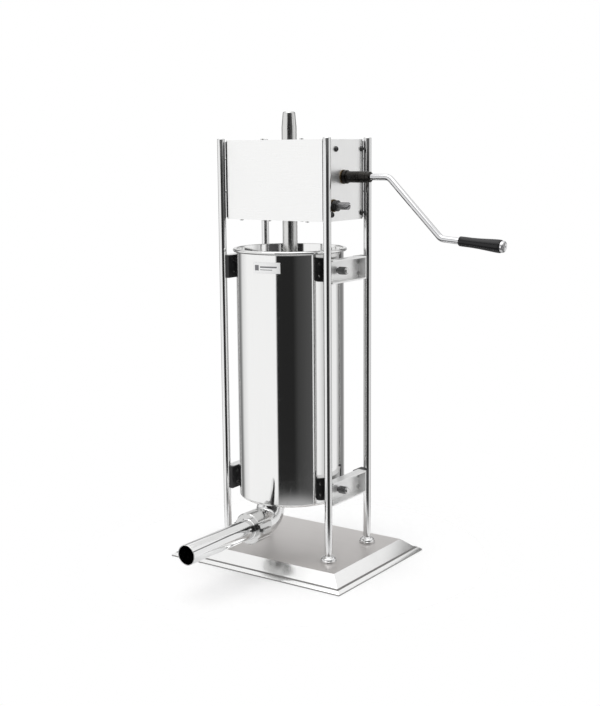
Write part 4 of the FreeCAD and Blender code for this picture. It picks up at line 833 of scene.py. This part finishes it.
@dataclass
class GearTrain:
    """Gears and shafts inside the housing, and the spare shaft end that shows outside."""

    slot_width: float = 1.6 * MM
    slot_depth: float = 2.0 * MM
    slot_turn: float = 25.0          # degrees
    shaft_edge: float = 0.35 * MM
    collar_groove: float = 0.5 * MM

    def build(self) -> None:
        """Dress the gears and finish the shafts."""
        refine(GEAR, "pinion_shaft", ("rack_pinion", "slow_gear", "fast_gear", "pinion_shaft"))
        refine(GEAR, "crank", ("crank_pinion", "crank_shaft"))
        refine(GEAR, "fast_shaft", ("fast_pinion",))
        self._spare_shaft()

    def _spare_shaft(self) -> None:
        """Shaft end with a grooved collar and a slotted tip."""
        shaft = Bench.refined("fast_shaft", self.shaft_edge)
        span = Span.of("fast_shaft")
        half = Vector((self.slot_depth, span.size.y, self.slot_width / 2.0))
        Bench.slot(shaft, half, Vector((span.high.x, span.centre.y, span.centre.z)), self.slot_turn)
        Bench.smooth(shaft)
        settle(shaft, KNURL, "fast_shaft")
        collar = Span.of("fast_collar")
        length, radius = collar.size.x, collar.size.y / 2.0
        inner = span.size.y / 2.0
        groove = self.collar_groove
        profile = [(0.0, inner), (0.0, radius - groove), (groove, radius), (length * 0.4, radius),
                   (length * 0.45, radius - groove), (length * 0.55, radius - groove),
                   (length * 0.6, radius), (length - groove, radius), (length, radius - groove),
                   (length, inner), (0.0, inner)]
        at = Vector((collar.low.x, collar.centre.y, collar.centre.z))
        ring = Bench.turned("fast_collar_turned", profile, at, RIGHT, sides=48, smooth=32.0)
        settle(ring, DARK_SCREW, "fast_shaft", "fast_collar")


# ---- Crank ----
@dataclass
class Crank:
    """Hub, bent rod and turning grip."""

    hub_groove: float = 0.5 * MM
    hub_flange: float = 4.0 * MM
    hub_step: float = 1.4 * MM
    hub_neck: float = 6.0 * MM
    neck_step: float = 0.6 * MM
    rod_r: float = 4.0 * MM
    droop: float = math.radians(4.5)
    bore: float = 3.06 * MM
    grip_r: float = 8.0 * MM
    # (share of the grip's length, radius) along its waist
    waist: Tuple[Point, ...] = ((0.12, 6.1 * MM), (0.30, 6.05 * MM), (0.5, 6.5 * MM),
                                (0.7, 7.25 * MM), (0.86, 7.85 * MM), (0.93, 8.0 * MM))
    root_edge: float = 1.3 * MM
    end_edge: float = 1.6 * MM
    cap_r: float = 7.0 * MM
    cap_overlap: float = 1.1 * MM
    cap_dome: float = 2.4 * MM
    key_r: float = 0.9 * MM
    key_depth: float = 2.0 * MM
    key_place: float = 2.6 * MM

    def build(self) -> None:
        """Model the hub, the grip and the cap; finish the rod."""
        refine(CHROME, "crank", ("crank_arm",), smooth=50.0)
        self._hub()
        keep(["crank_set_screw"], DARK_SCREW)
        self._grip()

    def _hub(self) -> None:
        """Turned hub with a shoulder and two grooves."""
        span = Span.of("crank_hub")
        length, shoulder = span.size.x, span.size.y / 2.0
        radius = shoulder - self.hub_step
        rod, flange, g = self.rod_r, self.hub_flange, self.hub_groove
        neck = radius - self.neck_step
        profile = [(0.0, rod), (0.0, shoulder - g), (g, shoulder), (flange, shoulder),
                   (flange + g, shoulder - g), (flange + g, radius)]
        for middle in (length * 0.52, length * 0.60):
            profile += [(middle - g, radius), (middle - 0.4 * g, radius - g),
                        (middle + 0.4 * g, radius - g), (middle + g, radius)]
        profile += [(length - self.hub_neck, radius), (length - self.hub_neck + self.neck_step, neck),
                    (length - 0.8 * MM, neck), (length, neck - 0.8 * MM), (length, rod), (0.0, rod)]
        hub = Bench.turned("crank_hub_turned", profile,
                           Vector((span.low.x, span.centre.y, span.centre.z)), RIGHT, smooth=30.0)
        settle(hub, HUB, "crank", "crank_hub")

    def _grip(self) -> None:
        """Glossy waisted grip and its chromed end cap with two key slots."""
        along = Vector((math.cos(self.droop), 0.0, -math.sin(self.droop)))
        grip, cap = Span.of("grip"), Span.of("grip_cap")
        length = (grip.size.x - self.grip_r * math.sin(self.droop)) / math.cos(self.droop)
        root_r = 6.0 * MM
        at = Vector((grip.low.x, grip.centre.y, self._axis_height(grip.low.x)))
        at += along * (root_r * math.tan(self.droop) / 2.0)
        profile = [(0.0, self.bore), (0.0, root_r - self.root_edge - 0.1 * MM)]
        profile += arc((self.root_edge, root_r - self.root_edge), self.root_edge, 180.0, 100.0, 4)
        profile += [(length * share, radius) for share, radius in self.waist]
        profile += arc((length - self.end_edge, self.grip_r - self.end_edge), self.end_edge,
                       70.0, 0.0, 4)
        profile += [(length, self.bore), (0.0, self.bore)]
        piece = Bench.turned("grip_moulded", profile, at, along, smooth=50.0)
        settle(piece, GRIP, "grip", "grip")
        cap_len = cap.size.x / math.cos(self.droop) - self.cap_overlap
        radius, dome = self.cap_r, self.cap_r - self.cap_dome
        profile = [(0.0, 0.0), (0.0, radius - 0.4 * MM), (0.4 * MM, radius), (cap_len * 0.55, radius)]
        profile += arc((cap_len * 0.55, dome), self.cap_dome, 84.0, 20.0, 5)
        profile += [(cap_len, dome - 0.4 * MM), (cap_len, 0.0)]
        cap_piece = Bench.turned("grip_cap_turned", profile, at + along * length, along, sides=48)
        tip = at + along * (length + cap_len)
        r, d = self.key_r, self.key_depth
        for side in (-1.0, 1.0):
            Bench.cut(cap_piece, Bench.turned("pocket", [(-d, 0.0), (-d, r), (d, r), (d, 0.0)],
                                              tip + Vector((0, side * self.key_place, 0)), along,
                                              sides=20))
        Bench.smooth(cap_piece, 35.0)
        settle(cap_piece, CHROME, "grip", "grip_cap")

    def _axis_height(self, x: float) -> float:
        """Height of the grip's axis at x, from the axis it spins about."""
        joint = next(j for j in frame["joints"] if j["name"] == "grip_spin")
        start = Vector(joint["pos_m"])
        return start.z - (x - start.x) * math.tan(self.droop)


# ---- Rack and piston ----
class RackAndPiston:
    """Toothed rod, piston, seal and air valve."""

    def build(self) -> None:
        """Finish the rack and dress the piston."""
        refine(RACK_STEEL, "rack", ("rack_rod",), smooth=28.0)
        refine(COVER, "rack", ("piston_plate",), ease=0.5 * MM)
        refine(SILICONE, "rack", ("piston_seal",), ease=0.8 * MM)
        refine(BRIGHT, "rack", ("piston_nut",), ease=0.3 * MM)
        refine(SILICONE, "air_valve", ("air_valve",), ease=0.5 * MM)


# ---- Cylinder and outlet ----
@dataclass
class Barrel:
    """Mirror-polished cylinder with its rolled rim and plain foil plate."""

    wall: float = 1.0 * MM
    floor: float = 1.5 * MM
    bead: float = 2.3 * MM
    bottom_edge: float = 4.0 * MM
    rim_edge: float = 0.6 * MM
    seat_gap: float = 1.5 * MM       # the hole's edge lies this far inside the outlet's outside
    sides: int = 192
    body_r: float = 71.0 * MM
    plate_width: float = 38.0 * MM
    patch_half: float = 0.2 * MM
    plate_rise: float = 0.45 * MM
    mark_rise: float = 0.5 * MM
    mark_size: Point = (6.0 * MM, 7.0 * MM)
    mark_turn: float = 0.19          # from the plate's middle to the field's, in radians
    bar_turn: float = 0.12           # from the plate's middle to where the bars start
    # (height above the plate's middle, length, thickness) of each printed bar
    bars: Tuple[Tuple[float, float, float], ...] = (
        (1.1 * MM, 23.0 * MM, 1.9 * MM), (-2.4 * MM, 17.0 * MM, 0.9 * MM))

    def build(self) -> None:
        """Model the shell and the plate."""
        span = Span.of("cylinder")
        height = span.size.z
        r, wall = self.body_r, self.wall
        bead_at = (height - self.bead, span.size.y / 2.0 - self.bead)
        profile = [(0.0, 0.0), (0.0, r - self.bottom_edge)]
        profile += arc((self.bottom_edge, r - self.bottom_edge), self.bottom_edge, 180.0, 90.0, 10)
        profile += [(height * 0.33, r), (height * 0.66, r), (bead_at[0] - self.bead - 1.6 * MM, r)]
        profile += [(bead_at[0] - self.bead, r + 0.3 * MM)]
        profile += arc(bead_at, self.bead, 200.0, 10.0, 18)
        profile += arc((height - self.rim_edge, r - wall + 0.9 * MM), self.rim_edge, 0.0, -90.0, 4)
        inner = r - wall
        curve = self.bottom_edge - self.floor
        profile += [(height - 2.0 * MM, inner), (height * 0.66, inner), (height * 0.33, inner)]
        profile += arc((self.floor + curve, inner - curve), curve, 90.0, 180.0, 6)
        profile += [(self.floor, 0.0)]
        at = Vector((span.centre.x, span.centre.y, span.low.z))
        shell = Bench.turned("cylinder_shell", profile, at, sides=self.sides)
        outlet = Span.of("outlet_elbow")
        outer, through = outlet.size.x / 2.0, 9.0 * MM
        seat = outer - self.seat_gap
        cutter = Bench.turned(
            "hole", [(-through, 0.0), (-through, seat), (through, seat), (through, 0.0)],
            Vector((0.0, outlet.high.y - outer, span.low.z)), sides=64)
        Bench.cut(shell, cutter)
        Bench.smooth(shell, 40.0)
        settle(shell, MIRROR, "frame", "cylinder")
        refine(BRIGHT, "frame", ("cylinder_sockets",))
        self._plate()

    def _plate(self) -> None:
        """Plain foil plate with a rounded field and two bars, without any lettering."""
        span = Span.of("blank_plate")
        axis = Vector((0.0, Span.of("cylinder").centre.y, 0.0))
        middle = span.centre - axis
        angle = math.atan2(middle.y, middle.x)
        rise = span.centre.z
        plate = self._patch("foil_plate", axis, angle, rise, self.plate_width, span.size.z,
                            self.plate_rise)
        settle(plate, FOIL, "frame", "blank_plate")
        marks = [self._patch("mark", axis, angle - self.mark_turn, rise, *self.mark_size,
                             self.mark_rise)]
        for height, long, thick in self.bars:
            turn = angle - self.bar_turn + long * 0.5 / self.body_r
            marks.append(self._patch("mark", axis, turn, rise + height, long, thick, self.mark_rise))
        settle(Bench.join(marks, "foil_marks"), FOIL_INK, "frame")

    def _patch(self, name: str, axis: Vector, angle: float, z: float, width: float, height: float,
               lift: float) -> Piece:
        """Thin rounded patch that is wrapped round the cylinder.

        Args:
            name: name of the patch.
            axis: point on the cylinder's axis.
            angle: direction of the patch's middle about the axis.
            z: height of its middle.
            width: width along the surface.
            height: height of the patch.
            lift: how far its face stands off the surface.

        Returns:
            The closed patch.
        """
        half = Vector((width / 2.0, height / 2.0, self.patch_half))
        patch = Bench.slab(name, -half, half)
        with Bench.editing(patch):
            bpy.ops.mesh.subdivide(number_cuts=7)
        Bench.ease(patch, min(width, height) * 0.12, segments=2)
        for vertex in patch.data.vertices:
            x, y, depth = vertex.co
            turn = angle + x / self.body_r
            reach = self.body_r + lift - self.patch_half + depth
            vertex.co = axis + Vector((reach * math.cos(turn), reach * math.sin(turn), z + y))
        Bench.smooth(patch, 35.0)
        return patch


@dataclass
class Outlet:
    """Bent outlet, union nut and filling tube."""

    wall: float = 1.5 * MM
    bend: float = 22.0 * MM
    tube_wall: float = 1.0 * MM
    tube_r: float = 13.0 * MM
    root_length: float = 11.8 * MM
    root_step: float = 1.0 * MM
    flange_thickness: float = 2.0 * MM
    flange_edge: float = 0.3 * MM

    def build(self) -> None:
        """Model the elbow, nut and tube."""
        self._elbow()
        self._tube()
        refine(NUT_STEEL, "nozzle_nut", ("nozzle_nut",), 0.6 * MM, smooth=40.0)
        keep(["nozzle_seal"], SILICONE)

    def _elbow(self) -> None:
        """Tube that goes down from the cylinder, round a tight bend and forward."""
        span = Span.of("outlet_elbow")
        radius = span.size.x / 2.0
        axis_y = span.high.y - radius
        axis_z = span.low.z + radius
        elbow = Bench.start("outlet_bend", bpy.ops.mesh.primitive_circle_add, vertices=72,
                            radius=radius, location=(0, axis_y, span.high.z))
        drop = span.high.z - axis_z - self.bend
        run = axis_y - self.bend - span.low.y
        with Bench.editing(elbow):
            bpy.ops.mesh.extrude_region_move(TRANSFORM_OT_translate={"value": (0, 0, -drop)})
            bpy.ops.mesh.spin(steps=24, angle=math.radians(90.0), axis=(1, 0, 0),
                              center=(0, axis_y - self.bend, axis_z + self.bend))
            bpy.ops.mesh.extrude_region_move(TRANSFORM_OT_translate={"value": (0, -run, 0)})
            Bench.close()
        Bench.thicken(elbow, self.wall)
        Bench.smooth(elbow, 40.0)
        settle(elbow, CAST_MIRROR, "frame", "outlet_elbow")

    def _tube(self) -> None:
        """Filling tube with its clamped flange and a softly rounded mouth."""
        span = Span.of("nozzle_tube")
        length = span.size.y
        flange, radius = span.size.x / 2.0, self.tube_r
        inner = radius - self.tube_wall
        half_wall = self.tube_wall / 2.0
        root, step = self.root_length, self.root_step
        thick, edge = self.flange_thickness, self.flange_edge
        profile = [(0.0, inner), (0.0, flange - edge), (edge, flange), (thick - edge, flange),
                   (thick, flange - edge), (thick, radius + step),
                   (root, radius + step), (root + step, radius), (length * 0.5, radius)]
        profile += arc((length - half_wall, inner + half_wall), half_wall, 90.0, -90.0, 8)
        profile += [(length * 0.5, inner), (0.0, inner)]
        tube = Bench.turned("filling_tube", profile, Vector((0, span.high.y, span.centre.z)), FRONT,
                            sides=96, smooth=40.0)
        settle(tube, TUBE_MIRROR, "nozzle", "nozzle_tube")


# ---- Cylinder brackets ----
@dataclass
class Brackets:
    """Channel rails, nylon blocks and the screws that lock the cylinder."""

    ridges: int = 28
    ridge_depth: float = 0.35 * MM
    stem_r: float = 3.0 * MM
    head_length: float = 13.4 * MM
    head_edge: float = 0.5 * MM
    face_step: float = 1.2 * MM
    face_depth: float = 2.2 * MM

    def build(self) -> None:
        """Finish rails and blocks and model the knurled screws."""
        for level in ("lower", "upper"):
            for side in ("left", "right"):
                refine(RAIL, "frame", ("rail_%s_%s" % (level, side),), 0.6 * MM)
                self._lock_screw("lock_screw_%s_%s" % (level, side), 1.0 if side == "right" else -1.0)
        refine(NYLON, "frame", ("post_blocks",), 0.5 * MM)
        refine(BRIGHT, "frame", ("rail_screws",), 0.15 * MM)

    def _lock_screw(self, node: str, side: float) -> None:
        """Screw with a plain tip and a knurled head with a bright face.

        Args:
            node: the node that the screw stands for.
            side: +1 on the crank's side, -1 on the other.
        """
        span = Span.of(node)
        head_r, stem_r, edge = span.size.y / 2.0, self.stem_r, self.head_edge
        length = span.size.x
        start, back = length - self.head_length, length - self.face_depth
        face_r = head_r - self.face_step
        profile = [(0.0, 0.0), (0.0, stem_r - edge), (edge, stem_r), (start, stem_r),
                   (start, head_r - edge), (start + edge, head_r), (back - 0.4 * MM, head_r),
                   (back, head_r - edge), (back, face_r), (length - edge, face_r),
                   (length, face_r - edge), (length, 0.0)]
        inner_x = span.low.x if side > 0 else span.high.x
        at = Vector((inner_x, span.centre.y, span.centre.z))
        screw = Bench.turned(node + "_knurled", profile, at, RIGHT * side, sides=self.ridges * 4)
        self._knurl(screw, span, head_r)
        Bench.smooth(screw, 28.0)
        settle(screw, KNURL, node, node)
        screw.data.materials.append(BRIGHT.build())
        outer = inner_x + side * (back - 0.1 * MM)
        for face in screw.data.polygons:
            if (face.center.x - outer) * side > 0.0:
                face.material_index = 1

    def _knurl(self, screw: Piece, span: Span, head_r: float) -> None:
        """Press every second pair of long edges of the head inwards."""
        axis = Vector((0.0, span.centre.y, span.centre.z))
        for vertex in screw.data.vertices:
            arm = Vector((0.0, vertex.co.y, vertex.co.z)) - axis
            if abs(arm.length - head_r) > 0.05 * MM:
                continue
            index = round(math.atan2(arm.z, arm.y) / (2.0 * math.pi) * self.ridges * 4)
            if index % 4 in (0, 1):
                vertex.co -= arm.normalized() * self.ridge_depth


# ---- Studio ----
@dataclass
class Studio:
    """Camera, pale floor and the soft light round the object."""

    azimuth: float = math.radians(34.98)
    elevation: float = math.radians(9.65)
    roll: float = math.radians(-0.47)
    distance: float = 1.6087
    target: Vector = field(default_factory=lambda: Vector((0.00707, 0.0, 0.28096)))
    lens: float = 61.19
    sensor: float = 36.0
    floor_radius: float = 0.34
    floor_solid: float = 0.13        # the floor starts to fade here
    floor_grey: float = 0.95
    floor_roughness: float = 0.6
    floor_specular: float = 0.1
    lamp_place: Vector = field(default_factory=lambda: Vector((0.0, -0.4, 2.4)))
    lamp_aim: Vector = field(default_factory=lambda: Vector((0.0, 0.0, 0.3)))
    lamp_size: float = 2.0
    lamp_power: float = 14.0
    horizon: Point = (0.34, 0.38)    # steepness of a direction at which the height takes over
    # grey level of the surround against the bearing from the eye, in degrees, left is negative
    surround: Tuple[Point, ...] = (
        (-180.0, 0.90), (-165.0, 0.55), (-152.0, 0.20), (-134.0, 0.22), (-124.0, 0.80),
        (-104.0, 1.0), (-31.0, 1.0), (-29.0, 0.02), (6.0, 0.02), (16.0, 0.05), (48.0, 0.085),
        (53.0, 0.12), (58.0, 1.0), (66.0, 0.9), (76.0, 0.60), (92.0, 0.95), (114.0, 0.95),
        (123.0, 0.45), (134.0, 0.22), (150.0, 0.24), (166.0, 0.60), (180.0, 0.90))
    # grey level against the height of the direction, from straight down to straight up
    heights: Tuple[Point, ...] = (
        (-1.0, 0.75), (-0.88, 0.45), (-0.76, 0.20), (-0.38, 0.20), (-0.36, 0.9), (-0.22, 1.0),
        (0.34, 1.0), (0.36, 0.12), (0.46, 0.12), (0.49, 1.0), (1.0, 1.0))

    def build(self) -> None:
        """Set up the whole studio."""
        self._camera()
        self._floor()
        self._world()
        self._lamp()
        bpy.context.scene.view_settings.view_transform = "Standard"

    def _camera(self) -> None:
        """Camera at the eye's place, turned by the three angles."""
        a, e = self.azimuth, self.elevation
        back = Vector((math.sin(a) * math.cos(e), -math.cos(a) * math.cos(e), math.sin(e)))
        side = Vector((math.cos(a), math.sin(a), 0.0))
        up = back.cross(side)
        right = side * math.cos(self.roll) + up * math.sin(self.roll)
        top = up * math.cos(self.roll) - side * math.sin(self.roll)
        data = bpy.data.cameras.new("studio_camera")
        data.lens = self.lens
        data.sensor_width = self.sensor
        data.sensor_fit = "AUTO"
        camera = bpy.data.objects.new("studio_camera", data)
        bpy.context.scene.collection.objects.link(camera)
        turn = Matrix((right, top, back)).transposed().to_4x4()
        camera.matrix_world = Matrix.Translation(self.target + back * self.distance) @ turn
        bpy.context.scene.camera = camera

    def _floor(self) -> None:
        """Pale floor near the base that melts into the surround."""
        floor = Bench.start("floor", bpy.ops.mesh.primitive_circle_add, vertices=96,
                            radius=self.floor_radius, fill_type="NGON",
                            location=(0, 0, Span.of("rubber_feet").low.z))
        pale = bpy.data.materials.new("pale_floor")
        pale.use_nodes = True
        tree = pale.node_tree
        shader = tree.nodes["Principled BSDF"]
        shader.inputs["Base Color"].default_value = (*(self.floor_grey,) * 3, 1.0)
        shader.inputs["Roughness"].default_value = self.floor_roughness
        shader.inputs["Specular IOR Level"].default_value = self.floor_specular
        reach = add_node(tree, "VectorMath", {0: add_node(tree, "TexCoord").outputs["Object"]},
                         operation="LENGTH")
        fade = add_node(tree, "MapRange", {
            "Value": reach.outputs["Value"], "From Min": self.floor_solid,
            "From Max": self.floor_radius * 0.95}, interpolation_type="SMOOTHSTEP")
        clear = add_node(tree, "BsdfTransparent")
        melt = add_node(tree, "MixShader", {"Fac": fade.outputs["Result"], 1: shader.outputs[0],
                                            2: clear.outputs[0]})
        tree.links.new(melt.outputs[0], tree.nodes["Material Output"].inputs["Surface"])
        floor.data.materials.append(pale)

    def _world(self) -> None:
        """White surround with dark zones round the horizon, so that polished metal shows form."""
        world = bpy.data.worlds.new("studio_surround")
        bpy.context.scene.world = world
        world.use_nodes = True
        tree = world.node_tree
        tree.nodes.clear()
        where = add_node(tree, "TexCoord").outputs["Generated"]
        split = add_node(tree, "SeparateXYZ", {0: where}).outputs
        bearing = calc(tree, "ARCTAN2", split["Y"], split["X"])
        # bearing from the eye's own bearing, as a share of a full turn with the eye at 0.5
        eye = math.atan2(-math.cos(self.azimuth), math.sin(self.azimuth)) / (2.0 * math.pi)
        share = calc(tree, "FRACT", calc(tree, "MULTIPLY_ADD", bearing, 0.5 / math.pi, 0.5 - eye))
        around = self._ramp(tree, share, [(0.5 + a / 360.0, v) for a, v in self.surround])
        tilt = calc(tree, "MULTIPLY_ADD", split["Z"], 0.5, 0.5)
        upright = self._ramp(tree, tilt, [(0.5 + z / 2.0, v) for z, v in self.heights])
        # away from the horizon the bearing gives way to the height
        sky = add_node(tree, "MapRange", {
            "Value": calc(tree, "ABSOLUTE", split["Z"]), "From Min": self.horizon[0],
            "From Max": self.horizon[1]}, interpolation_type="SMOOTHSTEP")
        dome = blend(tree, sky.outputs["Result"], around, upright)
        # the eye itself and dull surfaces see plain white
        path = add_node(tree, "LightPath").outputs
        plain = calc(tree, "MAXIMUM", path["Is Camera Ray"], path["Is Diffuse Ray"])
        shown = blend(tree, plain, dome, (1.0, 1.0, 1.0, 1.0))
        light = add_node(tree, "Background", {"Color": shown})
        add_node(tree, "OutputWorld", {"Surface": light.outputs[0]})

    @staticmethod
    def _ramp(tree: Tree, value: Socket,
              stops: Sequence[Point]) -> Socket:
        """Grey ramp driven by a value.

        Args:
            tree: the node tree.
            value: the driving socket, 0 to 1.
            stops: (place, grey level) pairs in order.

        Returns:
            The colour socket.
        """
        node = add_node(tree, "ValToRGB", {"Fac": value})
        ramp = node.color_ramp
        ramp.elements[0].position = stops[0][0]
        ramp.elements[1].position = stops[-1][0]
        for place, _ in stops[1:-1]:
            ramp.elements.new(place)
        for element, (_, level) in zip(ramp.elements, stops):
            element.color = (level, level, level, 1.0)
        return node.outputs["Color"]

    def _lamp(self) -> None:
        """Large soft lamp overhead."""
        data = bpy.data.lights.new("overhead", "AREA")
        data.size = self.lamp_size
        data.energy = self.lamp_power
        lamp = bpy.data.objects.new("overhead", data)
        bpy.context.scene.collection.objects.link(lamp)
        lamp.location = self.lamp_place
        lamp.rotation_mode = "QUATERNION"
        lamp.rotation_quaternion = (self.lamp_aim - self.lamp_place).to_track_quat("-Z", "Y")


def main() -> None:
    """Build the studio and every sub-assembly in order."""
    logging.basicConfig(level=logging.INFO, format="%(name)s: %(message)s")
    Studio().build()
    for part in (Base(), Posts(), Housing(), GearTrain(), Crank(), RackAndPiston(), Barrel(), Outlet(),
                 Brackets()):
        part.build()
    Bench.clear()


if __name__ == "__main__":
    main()
